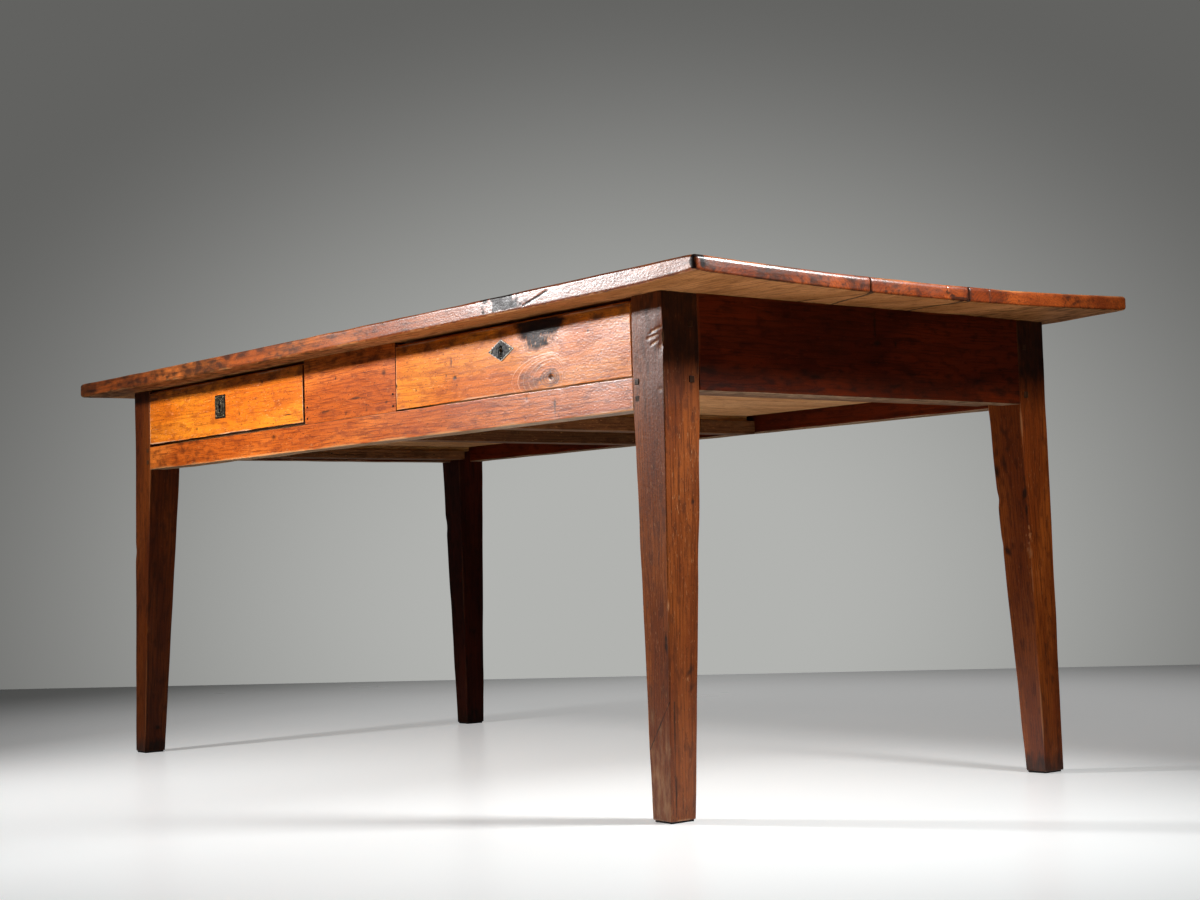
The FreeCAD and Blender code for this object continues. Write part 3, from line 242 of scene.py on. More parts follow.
def cherry(name, tones, grain=None, fleck=0.6, roughness=0.45, coat=0.3, worn="#C98A55", lines=0.55):
    """Cherry in pale, middle and deep tones. The grain runs along the mesh's own, or along named axes."""
    pale, middle, deep = tones.split()
    finish, tree, wax = new_finish(name)
    if grain is None:
        run = add_node(tree, "Attribute", attribute_name="grain").outputs["Vector"]
    else:
        parts = add_node(tree, "SeparateXYZ", {0: add_node(tree, "TexCoord").outputs["Object"]}).outputs
        run = add_node(tree, "CombineXYZ", {to: parts["xyz".index(axis)] for to, axis in enumerate(grain)})
    field = {}
    for label, (length, width, detail) in WOOD_PATTERNS.items():
        scales = (per_mm(length), per_mm(width), per_mm(width))
        stretched = add_node(tree, "VectorMath", {0: run, 1: scales}, operation="MULTIPLY")
        field[label] = add_node(tree, "TexNoise", {"Vector": stretched, "Scale": 1.0, "Detail": detail})
    swayed = add_node(tree, "VectorMath", {0: field["sway"], 1: (0, RING_SWAY, RING_SWAY), 2: run},
                      operation="MULTIPLY_ADD")
    waves = {"Vector": swayed, "Scale": WAVE_UNIT / RING_WIDTH, "Distortion": 1.4, "Detail": 2.0,
             "Detail Scale": 0.6}
    field["rings"] = add_node(tree, "TexWave", waves, wave_type="RINGS", rings_direction="X",
                              wave_profile="SAW").outputs["Fac"]
    # Marks stored with the points: dirt together with painted shade, wear together with painted highlights,
    # and stains together with painted shade
    for label in ("wear", "soil", "stain"):
        mark = add_node(tree, "Attribute", attribute_name=label).outputs["Fac"]
        field[label] = add_node(tree, "Math", {0: field["mottle"], 1: 0.9, 2: mark}, operation="MULTIPLY_ADD")
    layers = (("patches", 0.40, 0.60, 0.95, middle), ("rings", 0.45, 1.0, 0.36, deep),
              ("fibre", 0.50, 0.66, lines, deep), ("mottle", 0.52, 0.66, 0.44, deep),
              ("fleck", 0.66, 0.72, fleck, "#2A1106"), ("scuff", 0.65, 0.72, 0.55, worn),
              ("wear", 0.75, 1.3, 0.75, worn), ("soil", 0.72, 1.35, 0.85, "#1C0E07"),
              ("stain", 0.6, 1.2, 0.97, "#0E0B0C"))
    colour, stain_and_shade_cover = lay_colours(tree, srgb(pale), [(field[label], *layer) for label, *layer in layers])
    polish = add_node(tree, "Attribute", attribute_name="wax").outputs["Fac"]
    polish = add_node(tree, "Math", {0: polish, 1: coat}, operation="ADD")
    dulled = add_node(tree, "Math", {0: stain_and_shade_cover, 1: -0.75, 2: polish}, operation="MULTIPLY_ADD",
                      use_clamp=True)
    shine = add_node(tree, "MapRange", {"Value": field["mottle"], "From Min": 0.3, "From Max": 0.7,
                                        "To Min": roughness - 0.07, "To Max": roughness + 0.09})
    below = {}
    for label, depth in WOOD_RELIEF.items():
        relief = {"Height": field[label], "Strength": 1.0, "Distance": depth * MM}
        surface = add_node(tree, "Bump", relief | below)
        below = {"Normal": surface}
    fill(tree, wax, {"Base Color": colour, "Roughness": shine, "Normal": surface, "IOR": 1.5,
                     "Specular IOR Level": 0.09, "Coat Weight": dulled, "Coat Roughness": 0.3,
                     "Coat Normal": surface})
    return finish


# On the drawer fronts the rubbed tone also paints highlights on the knot's ridges
drawer_cherry = cherry("cherry_waxed_amber", "#E0801A #CE680E #883808", fleck=0.8, worn="#E8B088")
frame_cherry = cherry("cherry_waxed_russet", "#CC6B24 #AF5012 #6A2506", fleck=0.75, coat=0.36, lines=0.75)
end_cherry = cherry("cherry_smoked_dark", "#642004 #481402 #220700", fleck=0.4, coat=0.03, worn="#6A2E12")
top_cherry = cherry("cherry_scrubbed_top", "#B05E26 #8A4014 #401806", fleck=0.7, roughness=0.4)
sawn_end = cherry("cherry_end_grain_waxed", "#8E4014 #6A2A0B #2E0F05", fleck=0.8, coat=0.16, worn="#B06A38")
bare_cherry = cherry("cherry_sawn_bare", "#CC8A53 #B1733F #66371A", fleck=0.7, roughness=0.62, coat=0.0,
                     worn="#CC9A68")
grey_cherry = cherry("cherry_bare_dusty", "#A88869 #906E50 #60422A", fleck=0.4, roughness=0.7, coat=0.0,
                     worn="#C9AA8A")
print("cherry finishes:", [finish.name for finish in bpy.data.materials if "cherry" in finish.name])

# %% [markdown]
# ## Worn boards
# Every board started as a sharp-edged block. Hands, cloths and knees then rounded its edges, more
# here and less there. The helpers below lay grid lines over a box, close together at the edges,
# and pull the points in to a rounded edge whose radius changes from place to place. A bevel
# modifier would give one radius all over. The grid also carries the marks of use, rubbed edges,
# dirt and stains, and with them some painted shade and painted highlights; all are stored with the
# points, and the finish turns them into colour.

# %% Helpers for soft marks
DOWN = (0, 0, -1)


def smooth_step(value):
    """0 below 0, 1 above 1, and a soft rise between."""
    value = np.clip(value, 0, 1)
    return value * value * (3 - 2 * value)


def rise(value, start, end):
    """A soft rise from 0 where the value is at the start to 1 where it is at the end."""
    return smooth_step((value - start) / (end - start))


def ripples(points, size, seed):
    """A smooth random height of about -1 to 1, with swells of about the given size in metres."""
    chance = np.random.default_rng(seed)
    height = np.zeros(len(points))
    for _ in range(10):
        way = chance.normal(size=3)
        way *= math.tau / (size * chance.uniform(0.8, 2.2) * np.linalg.norm(way))
        height += np.sin(points @ way + chance.uniform(0, math.tau))
    return height / 3


def deepen(mark, more):
    """Raise a mark to a new value wherever that is greater."""
    np.maximum(mark, more, out=mark)


def spot(points, place, reach):
    """A soft round mark: 1 at its place, fading over its reach along each axis, both in metres."""
    return np.exp(-(((points - np.array(place)) / np.array(reach)) ** 2).sum(axis=1))


def line_mark(points, start, end, width):
    """A drawn line from start to end, 1 on the line and 0 beyond its width."""
    start, end = np.array(start), np.array(end)
    share = np.clip(((points - start) @ (end - start)) / ((end - start) ** 2).sum(), 0, 1)
    away = np.linalg.norm(points - start - share[:, None] * (end - start), axis=1)
    return rise(away, 1.5 * width, 0.5 * width)


def rubbed(rim, points, seed, reach=7 * MM):
    """How far use has rubbed a point: most on the edges, in uneven stretches."""
    uneven = 0.5 + 0.5 * np.clip(ripples(points, 0.11, seed), -1, 1)
    return rise(rim, reach, 0) * uneven


def sunk(points, outward, depth):
    """Points moved into the wood by a depth at each, in metres."""
    return points - outward * depth[:, None]


trial = np.array([(0, 0, 0), (0.004, 0, 0), (0.02, 0, 0)])
print("a spot at 0, 4 and 20 mm:", np.round(spot(trial, (0, 0, 0), (5 * MM, 5 * MM, 5 * MM)), 3).tolist())

# %% Helpers for worn boards
def grid_lines(length, radius, step, extra=()):
    """Places along one side of a board: close together on the edges, then evenly spaced."""
    edge = radius * (1 - np.tan(np.radians((45, 30, 15, 0))))
    edge = np.append(edge, [1.6 * radius, 2.8 * radius])
    middle = np.linspace(edge[-1], length - edge[-1], max(2, round((length - 2 * edge[-1]) / step) + 1))
    return np.unique(np.round(np.concatenate([edge, middle, length - edge, extra]), 6))


def block_shell(lines):
    """The points and faces of a block whose sides are divided at the given lines."""
    counts = [len(line) for line in lines]
    outside = np.zeros(counts, bool)
    outside[[0, -1]] = outside[:, [0, -1]] = outside[:, :, [0, -1]] = True
    numbers = np.full(counts, -1)
    numbers[outside] = np.arange(outside.sum())
    points = np.stack(np.meshgrid(*lines, indexing="ij"), -1)[outside]
    faces = []
    for axis in range(3):
        for end in (0, -1):
            side = np.take(numbers, end, axis)
            quads = np.stack([side[:-1, :-1], side[1:, :-1], side[1:, 1:], side[:-1, 1:]], -1).reshape(-1, 4)
            faces.append(quads[:, ::-1] if (end == 0) != (axis == 1) else quads)
    return points, np.concatenate(faces)


def worn_board(low, high, radius, step, seed, extra=((), (), ()), widest=5 * MM):
    """A board with unevenly rounded edges. Returns its points, the way out at each, how far each
    lies from the nearest edge, and its faces. The radius is a length, or a rule for every point."""
    low, high = np.array(low), np.array(high)
    size = high - low
    widest = min(radius if isinstance(radius, float) else widest, 0.3 * size.min())
    points, faces = block_shell([grid_lines(size[axis], widest, step[axis], np.array(extra[axis]) - low[axis])
                                 for axis in range(3)])
    offset = np.abs(points - size / 2)
    rim = np.sort(size / 2 - offset, axis=1)[:, 1]
    if isinstance(radius, float):
        reach = radius * (0.62 + 0.38 * np.clip(ripples(points, 0.06, seed), -1, 1))
    else:
        reach = radius(points + low)
    reach = np.minimum(reach, widest)[:, None]
    core = np.clip(points - size / 2, reach - size / 2, size / 2 - reach)
    outward = points - size / 2 - core
    outward /= np.maximum(np.linalg.norm(outward, axis=1, keepdims=True), 1e-9)
    points = core + outward * reach + size / 2 + low
    points += outward * (0.35 * MM * ripples(points, 0.09, seed + 1))[:, None]
    return points, outward, rim, faces


def facing(points, faces, way):
    """Which faces look the given way."""
    corners = points[np.array(faces)[:, :4]]
    normal = np.cross(corners[:, 2] - corners[:, 0], corners[:, 3] - corners[:, 1])
    return normal @ np.array(way) > 0.7 * np.linalg.norm(normal, axis=1)


def border(faces):
    """The edges round a patch of faces, each as its face runs."""
    edges = {(start, end): True for face in faces for start, end in zip(face, np.roll(face, -1))}
    return [edge for edge in edges if edge[::-1] not in edges]


def joined(parts):
    """Several sets of points and faces as one set."""
    starts = np.cumsum([0] + [len(points) for points, _ in parts[:-1]])
    return (np.concatenate([points for points, _ in parts]),
            np.concatenate([faces + start for start, (_, faces) in zip(starts, parts)]))


def grain_of(points, order, centre, pith, seed):
    """Where each point lies along, across and into the wood, measured from a pith beside the board."""
    shift = np.random.default_rng(seed).uniform(-4, 4)
    along, across, into = ("xyz".index(axis) for axis in order)
    return np.stack([points[:, along] + shift, points[:, across] - centre[across] + pith[0],
                     points[:, into] - centre[into] + pith[1]], -1)


print("a trial board has", len(worn_board((0, 0, 0), (0.4, 0.1, 0.02), 2 * MM, [10 * MM] * 3, 1)[3]), "faces")

# %% Helpers for pieces and CAD nodes
WELD_REACH = 0.005 * MM


def new_piece(name, points, faces, marks, finishes, body, nodes, slot, face_finish=None, flat_from=None):
    """Make the mesh object of a piece, with its marks and finishes, in place of its CAD nodes."""
    mesh = bpy.data.meshes.new(name)
    mesh.from_pydata(points.tolist(), [], [list(face) for face in faces])
    for label, values in marks.items():
        kind, field = ("FLOAT_VECTOR", "vector") if label == "grain" else ("FLOAT", "value")
        stored = mesh.attributes.new(label, kind, "POINT")
        stored.data.foreach_set(field, np.asarray(values, np.float32).ravel())
    for finish in finishes:
        mesh.materials.append(finish)
    smooth = np.ones(len(mesh.polygons), bool)
    if flat_from is not None:
        smooth[flat_from:] = False
    mesh.polygons.foreach_set("use_smooth", smooth)
    if face_finish is not None:
        mesh.polygons.foreach_set("material_index", np.asarray(face_finish, np.int32))
    mesh.update()
    made = bpy.data.objects.new(name, mesh)
    bpy.context.scene.collection.objects.link(made)
    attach(made, body)
    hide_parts(*nodes)
    return made


def corners_of(node):
    """The low and the high corner of a CAD node, as arrays."""
    return tuple(np.array(corner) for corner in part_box(node))


def middle_of(node):
    """The middle of a CAD node's box."""
    low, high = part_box(node)
    return (low + high) / 2


def welded(node):
    """A CAD node's mesh, open for editing, with the doubled points of its faces joined."""
    rough = bmesh.new()
    rough.from_mesh(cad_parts[node].data)
    bmesh.ops.remove_doubles(rough, verts=rough.verts, dist=WELD_REACH)
    return rough


print("middle of the centre panel:", [round(value, 4) for value in middle_of("centre_panel")])

# %% [markdown]
# ## The top
# Three planks, pegged to the end rails. The long overhang at the right-hand end has dropped in the
# middle and kept its corners up, as wide planks do when they dry from above. Its end is bevelled
# towards the front and shows waxed end grain. There the joints also open and a plank has split. The
# planks are bent by moving their points, and the split is a groove along extra grid lines. The
# underside was never finished, so it shows sawn wood.

# %% Shape of the top
BOARDS = {name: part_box(f"top_{name}_board") for name in ("front", "middle", "rear")}
BOARD_JOINTS = (BOARDS["middle"][0].y, BOARDS["rear"][0].y)
TOP_END = BOARDS["front"][1].x
TOP_HALF = BOARDS["rear"][1].y
TOP_LOW, TOP_HIGH = BOARDS["front"][0].z, BOARDS["front"][1].z
TOP_MIDDLE = (TOP_LOW + TOP_HIGH) / 2
RAIL_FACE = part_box("right_end_rail")[1].x
# How far the end has dropped and thinned and the front edge has sagged, in millimetres
END_DROP, END_THINNED, FRONT_SAG = 9.5, 4.2, 2.6
BEVEL_FROM, BEVEL_REACH, BEVEL_SLOPE = 21 * MM, 8 * MM, 0.33


def joint_distance(y):
    """How far points lie from the nearest joint between two planks."""
    return np.min([np.abs(y - line) for line in BOARD_JOINTS], axis=0)


def crisp(y):
    """Where the end keeps a crisp bevel: the front part of its width."""
    return rise(y, 0.22, 0.02)


def top_radius(points):
    """Upper edges are rubbed rounder than lower ones, and the joints open only at the free end."""
    x, y, z = points.T
    end = rise(x, TOP_END - 30 * MM, TOP_END)
    rubbed_edge = np.where(z > TOP_MIDDLE, 4.4 + end * (5.0 - 6.8 * crisp(y)), 2.4) * MM
    rubbed_edge *= 0.75 + (0.25 - 0.13 * end) * np.clip(ripples(points, 0.05, 11), -1, 1)
    corner = rise(np.abs(x), TOP_END - 20 * MM, TOP_END - 10 * MM)
    corner *= rise(np.abs(y), TOP_HALF - 20 * MM, TOP_HALF - 10 * MM)
    rubbed_edge = np.maximum(rubbed_edge, 6 * MM * corner)
    tight = (0.6 + 3.4 * end * np.clip(0.6 + 0.5 * ripples(points, 0.02, 12), 0.2, 1)) * MM
    return np.where(joint_distance(y) < 12 * MM, tight, rubbed_edge)


def settle_top(points):
    """The drop of the free end, its thinner edge, and a slight sag of the front edge."""
    x, y, z = points.T
    free = rise(x, RAIL_FACE, TOP_END)
    middle = 1 - (y / TOP_HALF) ** 2
    upper = (z - TOP_LOW) / (TOP_HIGH - TOP_LOW)
    drop = free * (-END_DROP * upper * middle + (1 - upper) * (END_THINNED - END_DROP * middle))
    front = rise(y, -0.405, -0.455) * (1 - (x / TOP_END) ** 2)
    bevel = np.clip(z - TOP_LOW - BEVEL_FROM, 0, None) * rise(x, TOP_END - BEVEL_REACH, TOP_END) * crisp(y)
    moved = points.copy()
    moved[:, 0] -= BEVEL_SLOPE * bevel
    moved[:, 2] += (drop - FRONT_SAG * front) * MM
    return moved


print("joints of the top at y:", [round(line, 4) for line in BOARD_JOINTS])

# %% Marks and mortises of the top
END_X, FRONT_Y = 0.9815, -0.4615
# Splits in each plank at the free end: place across and length
SPLITS = {"front": (), "middle": ((0.034, 0.09),), "rear": ((0.126, 0.05),)}
# Dark spots on the edges of the top: place, reach in millimetres and depth of colour
EDGE_SPOTS = (((-0.5, FRONT_Y, 0.743), (8, 8, 6), 0.8), ((-0.766, FRONT_Y, 0.757), (7, 8, 5), 0.8),
              ((END_X, 0.306, 0.748), (8, 6, 5), 0.9), ((END_X, -0.0995, 0.742), (6, 5, 4), 1.0),
              ((END_X, 0.212, 0.752), (6, 2.5, 9), 0.7), ((END_X, 0.055, 0.741), (9, 26, 5), 0.9),
              ((END_X, 0.08, 0.748), (9, 7, 12), 0.9), ((END_X, -0.36, 0.752), (9, 40, 6), 0.45),
              ((END_X, -0.24, 0.742), (9, 80, 5), 0.5), ((END_X, -0.44, 0.748), (9, 16, 14), 0.8))
# Dark lines from place to place, with their width in millimetres and depth of colour: a crack in the
# end of the top, then two dark lines across the underside of the free end
DARK_LINES = (((END_X, 0.030, 0.7525), (END_X, 0.046, 0.744), 1.8, 1.1),
              ((END_X, 0.046, 0.744), (END_X, 0.079, 0.742), 1.8, 1.1),
              ((END_X, -0.128, 0.738), (0.83, -0.061, 0.738), 3.2, 1.3),
              ((END_X, 0.066, 0.738), (0.811, 0.113, 0.738), 3.2, 1.3))
# A smudge on the front edge, and the crack that starts in it
SMUDGE = (0.548, 0.75)
FRONT_CRACK = ((0.597, FRONT_Y, 0.743), (0.6575, FRONT_Y, 0.7576))
BOLT_SIZE = (27 * MM, 9 * MM, 9 * MM)


def bolt_mortises():
    """The outlines of the two pockets under the front plank that the lock bolts rise into."""
    for side in ("left", "right"):
        middle = middle_of(f"{side}_drawer_lock_bolt")
        yield (middle.x - BOLT_SIZE[0] / 2, middle.y - BOLT_SIZE[1] / 2,
               middle.x + BOLT_SIZE[0] / 2, middle.y + BOLT_SIZE[1] / 2)


def inside_outline(places, outline):
    """Which places lie inside an outline: its two low sides, then its two high sides."""
    return np.all((places > outline[:2]) & (places < outline[2:]), axis=1)


def sink_pocket(points, faces, outline, depth):
    """Sink the downward faces inside an outline into the board, with walls round them."""
    inside = facing(points, faces, DOWN) & inside_outline(points[faces].mean(axis=1)[:, :2], outline)
    used = np.unique(faces[inside])
    sunk_to = {old: len(points) + place for place, old in enumerate(used)}
    points = np.concatenate([points, points[used] + (0, 0, depth)])
    walls = [(start, end, sunk_to[end], sunk_to[start]) for start, end in border(faces[inside])]
    lowered = [[sunk_to[corner] for corner in face] for face in faces[inside]]
    return points, np.concatenate([faces[~inside], np.array(walls), np.array(lowered)]), used


def front_stains(points, outward, marks):
    """The smudge and crack on the front edge, and painted shade on the rounded corner by the free end."""
    x, y, z = points.T
    above = z - TOP_LOW
    smudge = np.hypot((x - SMUDGE[0] + 0.4 * (z - SMUDGE[1])) / 0.06, (y - FRONT_Y) / 0.03)
    streaks = 0.3 * ripples(points * (1, 0.5, 0.4), 0.01, 8)
    stain = 0.9 * smooth_step((1.5 - smudge) / 1.3 + streaks) * rise(smudge, 1.5, 0.6)
    stain *= rise(above, 1 * MM, 8 * MM)
    marks["wax"] += 0.42 * stain
    crack = line_mark(points, *FRONT_CRACK, 1.3 * MM)
    points = sunk(points, outward, 0.5 * MM * crack)
    deepen(stain, 0.95 * crack)
    # Painted shade: a ragged dark stripe on the rounded front corner by the free end, standing in for its
    # dark reflection
    ragged = 0.3 * ripples(points, 0.012, 13)
    corner = smooth_step(1.2 - np.abs(x - TOP_END + 4 * MM) / (7 * MM) + ragged) * (y < -0.44)
    deepen(stain, corner * rise(above, 2 * MM, 5 * MM))
    marks["stain"] = stain
    return points


print("lock bolt mortises:", len(list(bolt_mortises())))

# %% Three planks with their joints, split and stains
def plank_cuts(name, low, high):
    """Extra grid lines of a plank, for its mortises, splits and fine marks."""
    cuts_x, cuts_y, cuts_z = [], [], []
    if name == "front":
        for outline in bolt_mortises():
            cuts_x += [outline[0], outline[2]]
            cuts_y += [outline[1], outline[3]]
        cuts_x += list(np.arange(0.48, 0.67, 1.8 * MM))
        cuts_z += list(np.arange(TOP_LOW + 9 * MM, TOP_HIGH - 9 * MM, 1.5 * MM))
    else:
        cuts_y += list(np.arange(low.y, high.y, 5 * MM))
    for split_y, _ in SPLITS[name]:
        cuts_y += [split_y - 1.1 * MM, split_y, split_y + 1.1 * MM]
    return cuts_x, cuts_y, cuts_z


def top_plank(name, seed, pith):
    """One plank of the top."""
    low, high = BOARDS[name]
    points, outward, rim, faces = worn_board(low, high, top_radius, (7 * MM, 16 * MM, 5 * MM), seed,
                                             plank_cuts(name, low, high), 8 * MM)
    x, y, z = points.T
    above = z - TOP_LOW
    underside = z < TOP_LOW + 1 * MM
    front_edge = rise(y, 6 * MM - TOP_HALF, -TOP_HALF)
    end_face = rise(x, TOP_END - 6 * MM, TOP_END)
    wear = rubbed(rim, points, seed + 2, 9 * MM) * (z > TOP_MIDDLE) * (1 - 0.7 * front_edge)
    lower_edge = front_edge * rise(above, 6 * MM, 1 * MM)
    deepen(wear, 0.8 * lower_edge * smooth_step(0.2 + 1.5 * ripples(points, 0.02, seed + 8)))
    soil = 0.9 * rise(joint_distance(y), 7 * MM, 0)
    deepen(soil, front_edge * (0.48 + 0.2 * ripples(points, 0.16, seed + 5)) * rise(x, 0.4, 0.1))
    upper_edge = front_edge * rise(above, 9 * MM, 18 * MM) * rise(x, 0.4, 0)
    deepen(soil, upper_edge * (0.5 + 0.12 * ripples(points, 0.04, seed + 9)))
    deepen(soil, 0.72 * front_edge * rise(x, -0.893, -0.905))
    # Painted shade on the underside of the front overhang, towards the left; the underside also goes darker
    # towards the rear
    deepen(soil, 0.62 * underside * rise(y, -0.39, -0.41) * rise(x, 0.7, -0.1))
    deepen(soil, 0.54 * underside * rise(y, 0.12, 0.27))
    deepen(soil, 0.5 * end_face * (ripples(points, 0.06, seed + 6) > 0.25))
    deepen(soil, end_face * rise(y, -0.11, -0.14) * (0.5 + 0.25 * ripples(points, 0.05, seed + 7)))
    for start, end, width, depth in DARK_LINES:
        deepen(soil, depth * line_mark(points, start, end, width * MM))
    for place, reach, depth in EDGE_SPOTS:
        deepen(soil, depth * spot(points, place, np.array(reach) * MM))
    uneven = above + 4 * MM * ripples(points, 0.03, 14)
    wax = end_face * rise(uneven, 10 * MM, 16 * MM) * rise(y, 0.12, 0.02)
    deepen(wax, 0.22 * front_edge * rise(x, 0.3, 0.8))
    for split_y, reach in SPLITS[name]:
        line = (np.abs(y - split_y) < 0.4 * MM) * rise(x, TOP_END - reach, TOP_END)
        points = sunk(points, outward, 1.5 * MM * line)
        deepen(soil, 0.9 * line)
    grain = grain_of(np.stack([x, y, z], -1), "xyz", (low + high) / 2, pith, seed)
    marks = {"grain": grain, "wear": wear, "soil": soil, "wax": wax}
    if name == "front":
        points = front_stains(points, outward, marks)
        for outline in bolt_mortises():
            points, faces, used = sink_pocket(points, faces, outline, BOLT_SIZE[2])
            marks = {label: np.concatenate([mark, mark[used]]) for label, mark in marks.items()}
    end_grain = facing(points, faces, (1, 0, 0)) | facing(points, faces, (-1, 0, 0))
    face_finish = facing(points, faces, DOWN) + 2 * end_grain
    finishes = (top_cherry, bare_cherry, sawn_end)
    return new_piece(f"top_{name}_plank", settle_top(points), faces, marks, finishes, "frame",
                     [f"top_{name}_board"], "top_cherry", face_finish)


planks = [top_plank("front", 21, (0.02, 0.07)), top_plank("middle", 34, (-0.05, 0.09)),
          top_plank("rear", 47, (0.06, 0.08))]
print("faces in the top:", sum(len(plank.data.polygons) for plank in planks))

# %% [markdown]
# ## Legs
# Each leg is square beside the rails and tapers on its two inner faces below them. Its section at
# the head and at the foot is read from the CAD node, so that a leg's lean is kept. The worn block
# is made square first and then narrowed towards the foot, which keeps the grain straight. Knocks
# at the edges are round hollows pressed into the points. Cuts, stains and the lines of an old
# repair are listed by place, because each leg has its own history.

# %% Tones and marks of the legs
# The finish of each leg: its name, tones and rubbed tone, and how strong its flecks and its wax are
LEG_TONES = {
    "front_right": ("cherry_waxed_brown", "#84441A #683010 #361505", "#B08058", 0.5, 0.2),
    "rear_right": ("cherry_waxed_umber", "#8C4414 #6C2E0A #321003", "#97603A", 0.5, 0.1),
    "front_left": ("cherry_waxed_dark", "#662E09 #4C1D05 #220A02", "#7A4420", 0.5, 0.1),
    "rear_left": ("cherry_smoked_black", "#481808 #341005 #180602", "#4E2A18", 0.4, 0.05),
}
LEG_TAPER_TOP = {"front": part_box("front_lower_rail")[0].z, "rear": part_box("rear_rail")[0].z}
# Knocks on the edges of each leg: height, which edge in x and y, length and depth in millimetres
LEG_KNOCKS = {
    "front_right": ((0.672, 1, 0, 0.02, 3.0), (0.30, 1, 0, 0.015, 1.0)),
    "front_left": ((0.25, 1, 0, 0.02, 1.8), (0.41, 0, 0, 0.016, 1.5)),
    "rear_left": ((0.455, 0, 0, 0.018, 3.0), (0.12, 1, 0, 0.02, 2.0)),
    "rear_right": ((0.447, 0, 0, 0.013, 2.2), (0.371, 0, 0, 0.011, 1.0), (0.36, 1, 0, 0.02, 1.6)),
}
# Marks on the faces of each leg: kind, place, reach in millimetres, strength and depth in millimetres
LEG_MARKS = {
    "front_right": (
        ("wear", (0.83, -0.399, 0.66), (5, 6, 4), 0.8, 0.8),
        ("wear", (0.83, -0.399, 0.60), (5, 6, 3), 0.8, 0.5),
        ("soil", (0.8355, -0.350, 0.443), (8, 5, 8), 1.0, 0.6),
        ("soil", (0.83, -0.36, 0.20), (10, 16, 22), 0.7, 0.0),
        ("soil", (0.826, -0.40, 0.245), (4, 8, 12), 1.3, 0.5)),
    "rear_right": (
        ("specks", (0.8375, 0.369, 0.375), (9, 9, 42), 1.2, 0.8),
        ("soil", (0.835, 0.3665, 0.449), (6, 7, 34), 1.3, 1.6),
        ("soil", (0.80, 0.369, 0.36), (16, 8, 26), 0.7, 0.0),
        ("soil", (0.78, 0.366, 0.52), (40, 9, 80), 0.6, 0.0),
        ("soil", (0.8375, 0.405, 0.17), (8, 40, 120), 0.55, 0.0)),
    "front_left": (
        ("soil", (-0.812, -0.380, 0.05), (6, 9, 9), 0.9, 0.5),
        ("wear", (-0.83, -0.4, 0.40), (8, 6, 60), 0.5, 0.0)),
    "rear_left": (("wear", (-0.79, 0.37, 0.56), (5, 5, 14), 0.8, 0.4),),
}
# Cuts and lines of old repairs on the legs: kind, start, end and depth in millimetres
LEG_LINES = {
    "front_right": (
        ("soil", (0.830, -0.400, 0.167), (0.786, -0.400, 0.100), 0.2),
        ("wear", (0.8215, -0.400, 0.15), (0.8185, -0.4, 0.06), 0.1),
        ("soil", (0.830, -0.391, 0.167), (0.828, -0.391, 0.008), 0.2),
        ("wear", (0.813, -0.3985, 0.6827), (0.835, -0.3985, 0.6875), 1.0),
        ("wear", (0.803, -0.3985, 0.6735), (0.834, -0.3985, 0.6785), 1.0),
        ("wear", (0.811, -0.3985, 0.664), (0.835, -0.3985, 0.672), 0.9),
        ("soil", (0.806, -0.3985, 0.679), (0.829, -0.3985, 0.683), 0.3)),
    "front_left": (("soil", (-0.8105, -0.40, 0.135), (-0.8105, -0.35, 0.132), 0.2),),
    "rear_right": (("soil", (0.838, 0.365, 0.332), (0.838, 0.43, 0.328), 0.4),),
    "rear_left": (),
}
for name in LEG_TONES:
    print(name, "knocks, marks, lines:", [len(table[name]) for table in (LEG_KNOCKS, LEG_MARKS, LEG_LINES)])

# %% Four tapered legs
NEAR_LEG = "front_right"


def narrowed(points, low, high, foot, taper_top):
    """Points of a square leg, drawn in towards the section of its foot."""
    narrowing = np.clip((taper_top - points[:, 2]) / (taper_top - low[2]), 0, 1)
    for axis in (0, 1):
        share = (points[:, axis] - low[axis]) / (high[axis] - low[axis])
        start = low[axis] + narrowing * (foot[:, axis].min() - low[axis])
        end = high[axis] + narrowing * (foot[:, axis].max() - high[axis])
        points[:, axis] = start + share * (end - start)
    return points


